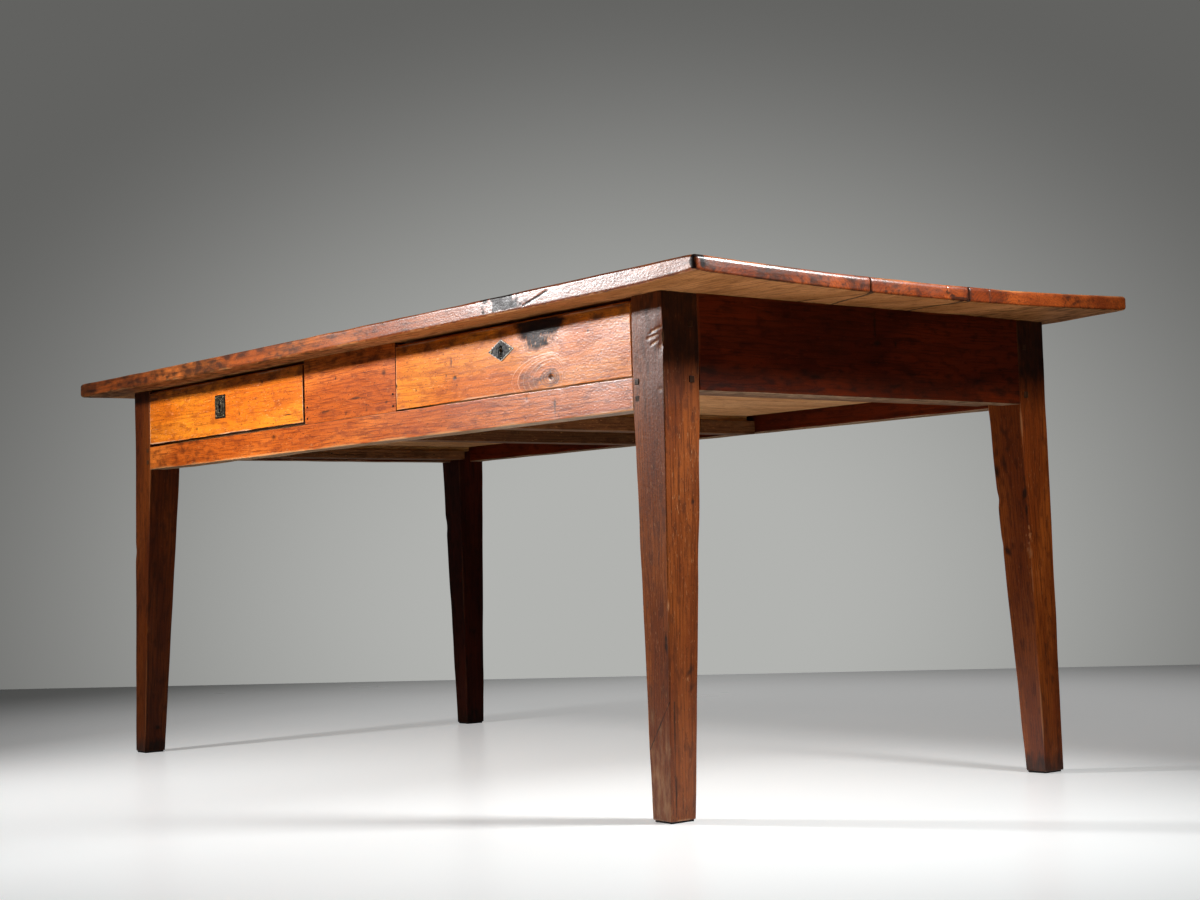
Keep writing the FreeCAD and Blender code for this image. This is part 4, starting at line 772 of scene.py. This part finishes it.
def leg_piece(name, seed):
    """One leg, narrowed from its head to its foot."""
    solid = np.array([vertex.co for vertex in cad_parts[f"{name}_leg"].data.vertices])
    head = solid[solid[:, 2] > solid[:, 2].max() - 0.1 * MM]
    foot = solid[solid[:, 2] < solid[:, 2].min() + 0.1 * MM]
    low = np.array([*head.min(axis=0)[:2], foot[0, 2]])
    high = head.max(axis=0)
    near, on_right = name == NEAR_LEG, name.endswith("right")
    step = 1.8 * MM if near else 3.0 * MM
    points, outward, rim, faces = worn_board(low, high, 2.6 * MM, [step] * 3, seed)
    grain = grain_of(points, "zxy", (low + high) / 2, (0.05, 0.06), seed)
    wear = rubbed(rim, points, seed + 2, 6 * MM)
    if near:
        wear *= 0.4 + 0.5 * (points[:, 2] < 0.17) * (ripples(points, 0.03, seed + 3) > 0)
        # Paler low on the front face: partly dust, partly painted sheen
        deepen(wear, 0.48 * rise(points[:, 2], 0.3, 0.05) * (outward[:, 1] < -0.5))
    for height, side_x, side_y, length, depth in LEG_KNOCKS[name]:
        corner = ((low[0], high[0])[side_x], (low[1], high[1])[side_y], height)
        hollow = spot(points, corner, (0.5 * length, 0.5 * length, 0.8 * length))
        points = sunk(points, outward, depth * MM * hollow)
        deepen(wear, 0.7 * hollow)
    z = points[:, 2]
    # Dirt at the foot, and painted shade under the top at the head
    soil = (0.3 if near else 0.75) * rise(z, low[2] + 0.06, low[2]) + 0.55 * rise(z, 0.70, 0.72)
    # Painted shade of the top's overhang on the faces towards the right-hand end, above about 0.6 m
    if on_right:
        deepen(soil, 0.8 * rise(z, 0.6, 0.66) * (outward[:, 0] > 0.6))
    points = narrowed(points, low, high, foot, LEG_TAPER_TOP[name.split("_")[0]])
    for kind, place, reach, strength, depth in LEG_MARKS[name]:
        mark = spot(points, place, np.array(reach) * MM) * (0.75 + 0.4 * ripples(points, 0.012, seed + 4))
        if kind == "specks":
            mark *= smooth_step(2 * ripples(points * (1, 1, 0.7), 0.006, seed + 5) - 0.5)
        points = sunk(points, outward, depth * MM * mark)
        deepen(soil if kind == "soil" else wear, strength * mark)
    wax = 0.42 * rise(points[:, 2], 0.3, 0.05) * on_right
    for kind, start, end, depth in LEG_LINES[name]:
        line = line_mark(points, start, end, 1.3 * MM)
        points = sunk(points, outward, depth * MM * line)
        if kind == "wear":
            deepen(wear, min(0.9, 0.45 + 0.5 * depth) * line)
        else:
            deepen(soil, 0.8 * line)
    title, tones, worn, fleck, coat = LEG_TONES[name]
    finish = cherry(title, tones, fleck=fleck, coat=coat, worn=worn)
    marks = {"grain": grain, "wear": wear, "soil": soil, "wax": wax}
    return new_piece(f"{name}_worn_leg", points, faces, marks, (finish,), "frame", [f"{name}_leg"],
                     "frame_cherry")


LEGS = ("front_left", "front_right", "rear_left", "rear_right")
legs = [leg_piece(name, 60 + 7 * number) for number, name in enumerate(LEGS)]
print("faces in the legs:", sum(len(leg.data.polygons) for leg in legs))

# %% [markdown]
# ## Foot pads
# Thin black felt pads keep the feet off the floor. They are cut roughly, so their outline wanders.

# %% Felt under the feet
felt, tree, wool = new_finish("wool_felt_pressed_black")
place = add_node(tree, "TexCoord").outputs["Object"]
fuzz = add_node(tree, "TexNoise", {"Vector": place, "Scale": per_mm(0.9), "Detail": 3.0})
black = add_node(tree, "Mix", {0: fuzz, 6: srgb("#0B0B0C"), 7: srgb("#2A2725")}, data_type="RGBA")
nap = add_node(tree, "Bump", {"Height": fuzz, "Strength": 1.0, "Distance": 0.4 * MM})
fill(tree, wool, {"Base Color": black, "Normal": nap, "Roughness": 0.95})
for number, name in enumerate(LEGS):
    points, outward, _, faces = worn_board(*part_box(f"{name}_foot_pad"), 0.6 * MM, [3 * MM] * 3, 90 + number)
    side = np.abs(outward[:, 2]) < 0.8
    wander = 1.1 * MM * ripples(points[side] * (1, 1, 0), 0.009, 95 + number)
    points[side, :2] += outward[side, :2] * wander[:, None]
    new_piece(f"{name}_felt_pad", points, faces, {}, (felt,), "frame", [f"{name}_foot_pad"], "black_felt")
print("felt pads:", len(LEGS))

# %% [markdown]
# ## Rails and centre panel
# Three plain rails, a low rail under the drawers and the panel between them. They meet the legs at
# square shoulders, so each board ends at the face of a leg. Their lower faces were left from the
# saw and have gone grey, which shows from the low camera, so those faces get the dusty finish.

# %% Marks of the rails
FRAME_FRONT = -0.3985
# Where painted shade under the top's overhang starts and where it is full, and where the panel starts above
# the low rail
PAINTED_SHADE_FROM, PAINTED_SHADE_FULL, PANEL_FROM = 0.706, 0.716, 0.622
# Dark marks on the right-hand end rail: place, and reach in millimetres
END_MARKS = (((0.8375, 0.026, 0.71), (6, 4, 26)), ((0.8375, 0.030, 0.684), (6, 9, 7)),
             ((0.8375, 0.071, 0.683), (6, 4, 6)), ((0.8375, 0.234, 0.716), (6, 4, 4)))
# Nicks and nail marks on the low rail and the panel: place along and up, reach along and up, depth
FRONT_NICKS = ((0.5155, 0.6149, 3, 5, 1.2), (0.5855, 0.594, 2.2, 20, 0.6), (0.6035, 0.6187, 2, 6, 0.8),
               (-0.2693, 0.6068, 12, 6, 0.2), (-0.7739, 0.5948, 3, 5, 0.8), (-0.0447, 0.6953, 3, 4, 0.8),
               (0.1121, 0.6907, 10, 8, 0.2), (0.0537, 0.632, 6, 4, 0.4), (0.1178, 0.6405, 5, 6, 0.4),
               (-0.0137, 0.6299, 4, 5, 0.8), (0.02, 0.655, 30, 2, 0.1), (-0.08, 0.64, 24, 2, 0.1))


def end_rail_marks(points, outward, marks):
    """A dark run of resin and a nail hole on the right-hand end rail, and painted shade under the top and
    along the rail's lower part.
    """
    z = points[:, 2]
    # Painted shade under the top and, darker still, along the lower part of the rail
    marks["soil"] = np.maximum(0.3 * rise(z, 0.70, 0.73), 0.5 * rise(z, 0.66, 0.63))
    for place, reach in END_MARKS:
        deepen(marks["soil"], spot(points, place, np.array(reach) * MM))
    return points


def front_rail_marks(points, outward, marks):
    """A darkening towards the left end, and nicks on the face of the low rail and the panel, pressed in and
    dark.
    """
    x, z = points[:, 0], points[:, 2]
    marks["wax"] = np.where(z < PANEL_FROM, 0.58 * np.clip(x / 0.6, -0.65, 1), -0.3)
    deepen(marks["soil"], 0.44 * rise(x, -0.3, -0.6))
    for nick_x, nick_z, long, tall, depth in FRONT_NICKS:
        nick = spot(points, (nick_x, FRAME_FRONT, nick_z), (long * MM, 6 * MM, tall * MM))
        deepen(marks["soil"], 0.95 * nick)
        points = sunk(points, outward, depth * MM * nick)
    return points


print("nicks on the low rail and panel:", len(FRONT_NICKS))

# %% Four rails and the panel
FRONT_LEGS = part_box("front_left_leg")[1].x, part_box("front_right_leg")[0].x
REAR_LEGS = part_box("rear_left_leg")[1].x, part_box("rear_right_leg")[0].x
END_LEGS = {side: (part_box(f"front_{side}_leg")[1].y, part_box(f"rear_{side}_leg")[0].y)
            for side in ("left", "right")}


def rail_piece(name, order, ends, finish, seed, radius=1.8 * MM, pith=(0.02, 0.08), shape=None):
    """One rail between two legs, without its tenons and with a sawn lower face."""
    low, high = corners_of(name)
    length = "xyz".index("z" if "panel" in name else order[0])
    low[length], high[length] = ends
    step = [20 * MM, 20 * MM, 5 * MM]
    step["xyz".index(order[0])] = 5 * MM
    points, outward, rim, faces = worn_board(low, high, radius, step, seed)
    x, z = points[:, 0], points[:, 2]
    marks = {"grain": grain_of(points, order, (low + high) / 2, pith, seed),
             "wear": rubbed(rim, points, seed + 2)}
    if "front" in name or "panel" in name:
        inner = outward[:, 2] if "front" in name else np.abs(outward[:, 0])
        # Painted shade in the gaps: the low rail's upper face and the panel's sides go dark, fading out
        # towards the right
        gap_face_shade = smooth_step(3 * inner - 1)
        marks["soil"] = 1.2 * (1 - rise(x, 0.1, 0.5)) * gap_face_shade
        # Painted shade under the top's overhang
        deepen(marks["soil"], 0.55 * rise(z, PAINTED_SHADE_FROM, PAINTED_SHADE_FULL))
        marks["wear"] *= (1 - gap_face_shade) * (z < 0.615)
    if shape:
        points = shape(points, outward, marks)
    return new_piece(f"{name}_worn", points, faces, marks, (finish, grey_cherry), "frame", [name],
                     "frame_cherry", facing(points, faces, DOWN).astype(int))


PANEL_ENDS = (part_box("front_lower_rail")[1].z, TOP_LOW)
rails = [
    rail_piece("right_end_rail", "yzx", END_LEGS["right"], end_cherry, 110, shape=end_rail_marks),
    rail_piece("left_end_rail", "yzx", END_LEGS["left"], end_cherry, 117),
    rail_piece("rear_rail", "xzy", REAR_LEGS, end_cherry, 124),
    rail_piece("front_lower_rail", "xzy", FRONT_LEGS, frame_cherry, 131, 1.6 * MM, shape=front_rail_marks),
    rail_piece("centre_panel", "xzy", PANEL_ENDS, frame_cherry, 138, 1.1 * MM, (0.04, 0.05),
               shape=front_rail_marks),
]
print("faces in rails and panel:", sum(len(rail.data.polygons) for rail in rails))

# %% [markdown]
# ## Drawer fronts
# The two fronts are the brightest wood on the table. The right-hand one has a knot with raised
# rings round a dark hole, and an ink stain by its lock. The front of each board is a fine grid, so
# that the knot's rings are real ridges; their pale lines, fading to the right, are painted
# highlights, and the ink is darker still under the top as painted shade. The rings are ovals, since
# the knot leans in the board.
# Behind the face stays the CAD board with its dovetail sockets and lock recess, cut off where the
# sockets begin. The fronts have shrunk a little, so shoulders close the small step behind them.

# %% Marks and joinery of the drawer fronts
LAP = 6 * MM
# How far wear and shrinking have moved each front's lower edge, upper edge and right-hand end
DRAWN_IN = {"left": (0.0, 2.6 * MM, 3.2 * MM), "right": (2.2 * MM, 3.2 * MM, 0.0)}
KNOT = (0.578, 0.6395)
# Rings round the knot: how far each reaches left, right and up, in millimetres
KNOT_RINGS = ((9, 8, 5), (15, 12, 8), (22, 17, 11), (30, 22, 15), (44, 29, 23), (56, 33, 28), (70, 36, 32),
              (84, 39, 34), (100, 42, 37))
# The rings that bound the dark heart and the dark ground round it
HEART_RING, GROUND_RING = 3, 7
INK = (0.543, 0.674)
# Pits and scratches on each drawer front: place along and up, reach along and up, depth
DRAWER_NICKS = {
    "left": ((-0.3105, 0.7126, 3, 5, 0.8), (-0.5757, 0.6435, 3, 5, 0.8), (-0.1675, 0.6323, 5, 5, 0.8),
             (-0.217, 0.644, 22, 2, 0.2), (-0.66, 0.69, 3, 3, 0.5), (-0.40, 0.66, 2.5, 7, 0.3)),
    "right": ((0.3145, 0.689, 2.2, 10, 0.3), (0.324, 0.663, 6, 4, 0.4), (0.15, 0.664, 4, 4, 0.8),
              (0.30, 0.668, 3, 3, 0.3), (0.67, 0.70, 3, 3, 0.1), (0.21, 0.652, 3, 3, 0.3),
              (0.70, 0.665, 2.5, 4, 0.1)),
}


def open_keyhole(points, faces, outline):
    """Take the faces inside an outline out of a slab, front and back, and wall the opening."""
    centres = points[faces].mean(axis=1)
    depth = np.ptp(points[:, 1])
    flat = np.ptp(points[faces][:, :, 1], axis=1) < 0.5 * depth
    inside = flat & inside_outline(centres[:, [0, 2]], outline)
    near = centres[:, 1] < points[:, 1].mean()
    rear_corners = np.unique(faces[inside & ~near])
    edges = border(faces[inside & near])
    rear_of = {}
    for start, _ in edges:
        gap = np.abs(points[rear_corners] - points[start])[:, [0, 2]].sum(axis=1)
        rear_of[start] = rear_corners[np.argmin(gap)]
    walls = [(start, end, rear_of[end], rear_of[start]) for start, end in edges]
    return np.concatenate([faces[~inside], np.array(walls)])


def sockets_behind(node, slab_high):
    """The CAD board behind the lap, as points and faces, with shoulders where the worn lap stands back."""
    cut_y = slab_high[1]
    rough = welded(node)
    everything = rough.verts[:] + rough.edges[:] + rough.faces[:]
    bmesh.ops.bisect_plane(rough, geom=everything, plane_co=(0, cut_y, 0), plane_no=(0, 1, 0),
                           clear_inner=True)
    rough.verts.index_update()
    points = np.array([vertex.co for vertex in rough.verts])
    faces = [[vertex.index for vertex in face.verts] for face in rough.faces]
    rough.free()
    low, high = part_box(node)
    for left, bottom in ((low.x, slab_high[2] - 2 * MM), (slab_high[0] - 2 * MM, low.z)):
        outline = ((left, bottom), (high.x, bottom), (high.x, high.z), (left, high.z))
        shoulder = [(x, cut_y, z) for x, z in outline]
        faces.append(list(range(len(points), len(points) + 4)))
        points = np.concatenate([points, shoulder])
    return points, faces


def oval(aside, above, left, right, tall):
    """How far points lie outside an oval with its own reach to the left, to the right and up."""
    wide = np.where(aside < 0, left, right)
    size = np.hypot(aside / wide, above / tall)
    steep = np.hypot(aside / wide ** 2, above / tall ** 2) / np.maximum(size, 1e-6)
    return (size - 1) / np.maximum(steep, 1e-6)


print("rings round the knot:", len(KNOT_RINGS))

# %% Drawer fronts with knot and stain
def knot_and_ink(points, ahead_facing, face_y, marks):
    """The knot's ridges with their painted highlights, hole and crack, and the ink stain with painted shade
    under the top. Points are moved in place.
    """
    x, z = points[:, 0], points[:, 2]
    wobble = 0.6 * MM * ripples(points, 0.05, 5)
    rings = [oval(x - KNOT[0], z - KNOT[1] + wobble, *np.array(reach) * MM) for reach in KNOT_RINGS]
    ridge = sum(np.exp(-(away / (0.8 * MM)) ** 2) for away in rings)
    fading = rise(x, 0.64, 0.58) * (0.7 + 0.3 * np.clip(ripples(points, 0.05, 9), -1, 1))
    points[:, 1] -= ahead_facing * fading * 0.12 * MM * ridge
    hole = np.exp(-(np.hypot((x - KNOT[0]) / 1.4, z - KNOT[1] - 1 * MM) / (2.6 * MM)) ** 2)
    points[:, 1] += ahead_facing * 2.0 * MM * hole
    heart = rise(rings[HEART_RING], 3.5 * MM, -3.5 * MM)
    ground = rise(rings[GROUND_RING], 8 * MM, -8 * MM) * rise(x, KNOT[0], KNOT[0] - 0.03)
    # The knot's dark heart and ground, lightened on the ridges as painted highlight
    soil = np.maximum(0.72 * heart, 0.5 * ground) - 0.3 * heart * ridge
    deepen(soil, 1.3 * smooth_step(2.5 * hole))
    crack_end = (KNOT[0] - 2 * MM, face_y, KNOT[1] + 13 * MM)
    deepen(soil, 1.2 * line_mark(points, (KNOT[0], face_y, KNOT[1]), crack_end, 1.3 * MM))
    marks["soil"] = soil
    # Painted highlights: the ridges are tinted pale, fading towards the right, as if they caught the light
    deepen(marks["wear"], 1.4 * fading * ridge * (1 - heart))
    aside = np.abs(x - INK[0] - 0.1 * (z - INK[1])) / 0.06
    across = smooth_step((1.5 - aside) / 1.5 + 0.08 * ripples(points, 0.03, 6))
    # The ink, with a second, darker share under the top's overhang that is painted shade
    stain = across * (0.78 * rise(z, INK[1], INK[1] + 0.02) + 0.7 * rise(z, 0.704, 0.716))
    stain -= 0.3 * stain * np.clip(ripples(points * (1, 1, 0.6), 0.005, 7), 0, 1) * (z < 0.71)
    marks["stain"] = stain
    marks["wax"] = 0.42 * rise(x, 0.2, 0.7) - 0.25 + 0.6 * stain * (z < 0.715)


def drawer_front(side, seed, pith):
    """One drawer front: a worn face in front of the joinery."""
    node = f"{side}_drawer_front"
    low, high = corners_of(node)
    lowered, lowered_top, shortened = DRAWN_IN[side]
    slab_high = np.array((high[0] - shortened, low[1] + LAP, high[2] - lowered_top))
    low[2] -= lowered
    key = middle_of(f"{side}_drawer_escutcheon")
    outline = (key.x - 4 * MM, key.z - 12 * MM, key.x + 4 * MM, key.z + 4 * MM)
    extra = [[outline[0], outline[2]], [], [outline[1], outline[3]]]
    if side == "right":
        extra[0] += list(np.arange(KNOT[0] - 0.11, KNOT[0] + 0.06, 1.3 * MM))
        extra[2] += list(np.arange(low[2] + 5 * MM, high[2] - 5 * MM, 1.3 * MM))
    step = (3.2 * MM, 4 * MM, 3.2 * MM)
    points, outward, rim, faces = worn_board(low, slab_high, 1.7 * MM, step, seed, extra)
    x, z = points[:, 0], points[:, 2]
    ahead_facing = outward[:, 1] < -0.5
    marks = {"grain": grain_of(points, "xzy", (low + high) / 2, pith, seed), "soil": np.zeros(len(points)),
             "wear": rubbed(rim, points, seed + 2, 5 * MM) * (points[:, 1] < low[1] + 3 * MM)}
    if side == "right":
        knot_and_ink(points, ahead_facing, low[1], marks)
    soil = marks["soil"]
    # Painted shade under the top's overhang
    deepen(soil, 0.6 * rise(z, PAINTED_SHADE_FROM, PAINTED_SHADE_FULL))
    for nick_x, nick_z, long, tall, depth in DRAWER_NICKS[side]:
        nick = spot(points, (nick_x, low[1], nick_z), (long * MM, 4 * MM, tall * MM))
        deepen(soil, 0.95 * nick)
        points[:, 1] += ahead_facing * depth * MM * nick
    # Painted shade in and round the keyhole opening
    deepen(soil, 1.3 * rise(np.hypot(x - key.x, z - key.z + 4 * MM), 15 * MM, 5 * MM))
    # Painted shade on the front's edges and back, in the gaps round it
    deepen(soil, (1.3 if side == "left" else 0.7) * rise(points[:, 1] - low[1], 1 * MM, 2.5 * MM))
    # On the left-hand front, more painted shade on its right-hand and lower edges
    if side == "left":
        deepen(soil, 1.3 * smooth_step(3 * np.maximum(outward[:, 0], -outward[:, 2]) - 0.3))
    faces = open_keyhole(points, faces, outline)
    rear_points, rear_faces = sockets_behind(node, slab_high)
    rear_faces = [[corner + len(points) for corner in face] for face in rear_faces]
    rear_marks = {label: np.zeros(len(rear_points)) for label in marks}
    rear_marks["grain"] = grain_of(rear_points, "xzy", (low + high) / 2, pith, seed)
    marks = {label: np.concatenate([mark, rear_marks[label]]) for label, mark in marks.items()}
    all_points, all_faces = np.concatenate([points, rear_points]), [*faces, *rear_faces]
    return new_piece(f"{side}_drawer_worn_front", all_points, all_faces, marks, (drawer_cherry,),
                     f"{side}_drawer", [node], "drawer_front_cherry", flat_from=len(faces))


fronts = [drawer_front("left", 150, (0.02, 0.10)), drawer_front("right", 163, (-0.03, 0.09))]
print("faces in the drawer fronts:", [len(front.data.polygons) for front in fronts])

# %% [markdown]
# ## Iron
# Key plates, nails and locks are wrought iron. Iron that is handled goes grey and bright on its
# edges, and iron that is blacked keeps a dark skin with a dull shine. The CAD plates and locks
# have the right shape, so they stay, with a bevel whose faces get the brighter, rubbed iron. The
# diamond plate is also rubbed bright along a ragged rim, with painted shade round its keyhole. Raised
# lines on the square plate are swept wires, because a bump in the finish would vanish at the edge.

# %% Iron finishes
def iron(name, dark, light, rust, roughness, metal_share=0.8):
    """Forged iron: a hammered, patchy skin between two greys, with some rust."""
    finish, tree, metal = new_finish(name)
    place = add_node(tree, "TexCoord").outputs["Object"]
    skin = add_node(tree, "TexNoise", {"Vector": place, "Scale": per_mm(5), "Detail": 5.0})
    pits = add_node(tree, "TexNoise", {"Vector": place, "Scale": per_mm(2), "Detail": 3.0})
    colour, _ = lay_colours(tree, srgb(dark), ((skin, 0.4, 0.65, 1.0, light), (pits, 0.56, 0.7, 0.6, rust)))
    hammered = add_node(tree, "Bump", {"Height": skin, "Strength": 1.0, "Distance": 0.35 * MM})
    sheen = add_node(tree, "MapRange", {"Value": skin, "From Min": 0.35, "From Max": 0.65,
                                        "To Min": 0.02, "To Max": 0.2})
    fill(tree, metal, {"Base Color": colour, "Normal": hammered, "Metallic": metal_share,
                       "Roughness": roughness, "Specular IOR Level": sheen})
    return finish


def rub_plate(finish, node):
    """The wear of a diamond-shaped key plate: a bright, ragged rim, and painted shade round its keyhole."""
    low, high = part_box(node)
    centre, half = (low + high) / 2, (high - low) / 2
    tree = finish.node_tree
    metal = tree.nodes["Principled BSDF"]
    place = add_node(tree, "TexCoord").outputs["Object"]
    ragged = add_node(tree, "TexNoise", {"Vector": place, "Scale": per_mm(4), "Detail": 3.0})
    # Each mark, the rubbed rim and then the painted shade round the keyhole: how far its middle lies below
    # the plate's, half width, half height, the rule for distance, where it starts and is full, and its tint
    wear = ((0, half.x, half.z, "DOT_PRODUCT", 1.16, 1.28, "#A8A49A"),
            (3 * MM, 5.5 * MM, 10 * MM, "LENGTH", 1.5, 1.3, "#030303"))
    colour = metal.inputs["Base Color"].links[0].from_socket
    for lowered, wide, tall, rule, start, full, tint in wear:
        middle = (centre.x, 0, centre.z - lowered)
        offset = add_node(tree, "VectorMath", {0: place, 1: middle}, operation="SUBTRACT")
        share = add_node(tree, "VectorMath", {0: offset, 1: (1 / wide, 0, 1 / tall)}, operation="MULTIPLY")
        share = add_node(tree, "VectorMath", {0: share}, operation="ABSOLUTE")
        away = add_node(tree, "VectorMath", {0: share, 1: (1, 0, 1)}, operation=rule)
        uneven = add_node(tree, "Math", {0: ragged, 1: 0.6, 2: away}, operation="MULTIPLY_ADD")
        colour, cover = lay_colours(tree, colour, ((uneven, start, full, 1.0, tint),))
    bare = add_node(tree, "Math", {0: 1.0, 1: cover}, operation="SUBTRACT")
    sheen = metal.inputs["Specular IOR Level"].links[0].from_socket
    dulled = add_node(tree, "Math", {0: sheen, 1: bare}, operation="MULTIPLY")
    fill(tree, metal, {"Base Color": colour, "Specular IOR Level": dulled})


GREY_IRON = ("#0F0E0D", "#34322F", "#15110E", 0.5, 0.08)
grey_iron = iron("iron_forged_grey", *GREY_IRON)
plate_iron = iron("iron_forged_rubbed_rim", *GREY_IRON)
rub_plate(plate_iron, "right_drawer_escutcheon")
bright_iron = iron("iron_rubbed_bright", "#8C8880", "#C2BDB2", "#6A5A4A", 0.35)
black_iron = iron("iron_blacked", "#171412", "#29241F", "#2A1B12", 0.55, 0.3)
rubbed_black = iron("iron_blacked_rubbed", "#3C3529", "#72664E", "#2A1B12", 0.45, 0.5)
nail_iron = iron("iron_nail_rubbed", "#8E8064", "#CDBE98", "#5A4832", 0.4)
print("iron finishes:", [finish.name for finish in bpy.data.materials if finish.name.startswith("iron")])

# %% Key plates, beading, nails and locks
# Raised lines on the square plate: half width, half height, roundness and radius, in millimetres
BEADS = ((16.5, 19, 0.22, 0.9), (7.5, 13, 1.0, 1.2), (12, 16, 0.6, 0.7))


def dress(node, finish, edge_finish=None, bevel=0.5 * MM):
    """Finish a CAD node, with softened edges. A second finish goes on the edges alone."""
    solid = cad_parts[node]
    solid.data.materials.clear()
    solid.data.materials.append(finish)
    weld = solid.modifiers.new("weld", "WELD")
    weld.merge_threshold = WELD_REACH
    soften = solid.modifiers.new("soften", "BEVEL")
    soften.width = bevel
    soften.segments = 2
    soften.limit_method = "ANGLE"
    soften.angle_limit = math.radians(40)
    soften.harden_normals = True
    if edge_finish:
        solid.data.materials.append(edge_finish)
        soften.material = 1


def swept_ring(path, radius, sides=8):
    """Points and faces of a closed wire: round sections swept along a closed path in the x-z plane."""
    onward_way = np.roll(path, -1, axis=0) - np.roll(path, 1, axis=0)
    onward_way /= np.linalg.norm(onward_way, axis=1, keepdims=True)
    sideways = np.cross(onward_way, (0, 1, 0))
    turn = np.linspace(0, math.tau, sides, endpoint=False)
    points = path[:, None] + radius * (np.cos(turn)[None, :, None] * sideways[:, None]
                                       + np.sin(turn)[None, :, None] * np.array((0, 1, 0)))
    numbers = np.arange(len(path) * sides).reshape(len(path), sides)
    onward, round_it = np.roll(numbers, -1, axis=0), np.roll(numbers, -1, axis=1)
    faces = np.stack([numbers, round_it, np.roll(onward, -1, axis=1), onward], -1).reshape(-1, 4)
    return points.reshape(-1, 3), faces


centre = middle_of("left_drawer_escutcheon")
plate_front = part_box("left_drawer_escutcheon")[0].y
turn = np.linspace(0, math.tau, 48, endpoint=False)
wires = []
for half_width, half_height, power, radius in BEADS:
    across, above = (np.sign(way) * np.abs(way) ** power for way in (np.cos(turn), np.sin(turn)))
    path = np.stack([centre.x + half_width * MM * across, np.full(len(turn), plate_front),
                     centre.z + half_height * MM * above], -1)
    wires.append(swept_ring(path, radius * MM))
new_piece("left_drawer_key_beading", *joined(wires), {}, (rubbed_black,), "left_drawer", [], "blackened_iron")
dress("right_drawer_escutcheon", plate_iron, bright_iron, 1.2 * MM)
dress("left_drawer_escutcheon", black_iron, grey_iron)
for side in ("left", "right"):
    dress(f"{side}_drawer_escutcheon_nails", nail_iron, bevel=0.3 * MM)
    dress(f"{side}_drawer_lock_case", black_iron, grey_iron, 0.6 * MM)
    dress(f"{side}_drawer_lock_bolt", grey_iron, bright_iron, 0.6 * MM)
    dress(f"{side}_drawer_lock_nails", black_iron, bevel=0.3 * MM)
    dress(f"{side}_drawer_bottom_nails", black_iron, bevel=0.2 * MM)
dress("centre_panel_nails", black_iron, bevel=0.3 * MM)
dress("runner_nails", black_iron, bevel=0.3 * MM)
first_finishes = [node.data.materials[0].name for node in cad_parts.values() if node.data.materials]
print("iron finishes on", sum("iron" in name for name in first_finishes), "nodes")

# %% [markdown]
# ## Pegs
# Oak pegs lock the rails and hold the top. A peg is split from a bar and driven in nearly square,
# so its end shows as a small dark square on the leg. The pegs' dark colour is old oak end grain.

# %% Oak pegs
OAK = "#4A2E1A #38200F #1C0F07"
peg_oak = cherry("oak_riven_dark", OAK, fleck=0.8, roughness=0.5, coat=0.1, worn="#6E4C2E")


def separate_boxes(node):
    """The low and high corners of every separate solid in a CAD node, in a fixed order."""
    rough = welded(node)
    left_over = set(rough.verts)
    boxes = []
    while left_over:
        island, waiting = set(), [left_over.pop()]
        while waiting:
            vertex = waiting.pop()
            island.add(vertex)
            others = [edge.other_vert(vertex) for edge in vertex.link_edges]
            waiting += [other for other in others if other not in island]
        left_over -= island
        corners = np.array([vertex.co for vertex in island])
        boxes.append((corners.min(axis=0), corners.max(axis=0)))
    rough.free()
    return sorted(boxes, key=lambda box: tuple(np.round(box[0], 4)))


pegs = []
for number, (low, high) in enumerate(separate_boxes("frame_pegs")):
    points, _, _, faces = worn_board(low, high, 0.9 * MM, [4 * MM] * 3, 200 + number)
    pegs.append((points, faces))
peg_points, peg_faces = joined(pegs)
new_piece("frame_square_pegs", peg_points, peg_faces,
          {"grain": grain_of(peg_points, "zxy", (0, 0, 0), (0.01, 0.01), 9)},
          (peg_oak,), "frame", ["frame_pegs"], "peg_oak")
print("square pegs:", len(pegs))

# %% [markdown]
# ## Drawer boxes, runners and what is out of sight
# The boxes of the drawers, the runners and guides are plain sawn wood with crisp joints. The CAD
# solids already have the dovetails and grooves, so they stay as they are, with a light softening
# of the edges. Their grain follows the length of each board.

# %% Bare wood inside and below
box_side = cherry("cherry_box_side", "#C79A62 #AE8049 #7A5030", "yzx", 0.4, 0.6, 0.0)
box_back = cherry("cherry_box_back", "#C1925A #A87843 #74492A", "xzy", 0.4, 0.6, 0.0)
box_floor = cherry("cherry_box_floor", "#E2AA76 #CC925E #8A5832", "yxz", 0.5, 0.65, 0.0)
runner_wood = cherry("cherry_runner_greased", "#7E5433 #654026 #3A2214", "yxz", 0.4, 0.55, 0.0)
peg_wood = cherry("oak_peg_upright", OAK, "zxy", 0.8, 0.5, 0.1)
BOX_PIECES = {"left_side": box_side, "right_side": box_side, "back": box_back, "bottom_left_board": box_floor,
              "bottom_middle_board": box_floor, "bottom_right_board": box_floor}
for side in ("left", "right"):
    for name, finish in BOX_PIECES.items():
        dress(f"{side}_drawer_{name}", finish)
    for name in ("inner_runner", "outer_runner", "inner_guide", "outer_guide"):
        dress(f"{side}_{name}", runner_wood, bevel=1.0 * MM)
    dress(f"{side}_drawer_stop", box_back, bevel=1.0 * MM)
dress("top_pegs", peg_wood)
dress("top_edge_dowels", peg_wood)
undressed = [name for name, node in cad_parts.items()
             if not node.hide_render and not (node.data.materials and node.modifiers)]
print("CAD nodes without a finish:", undressed)
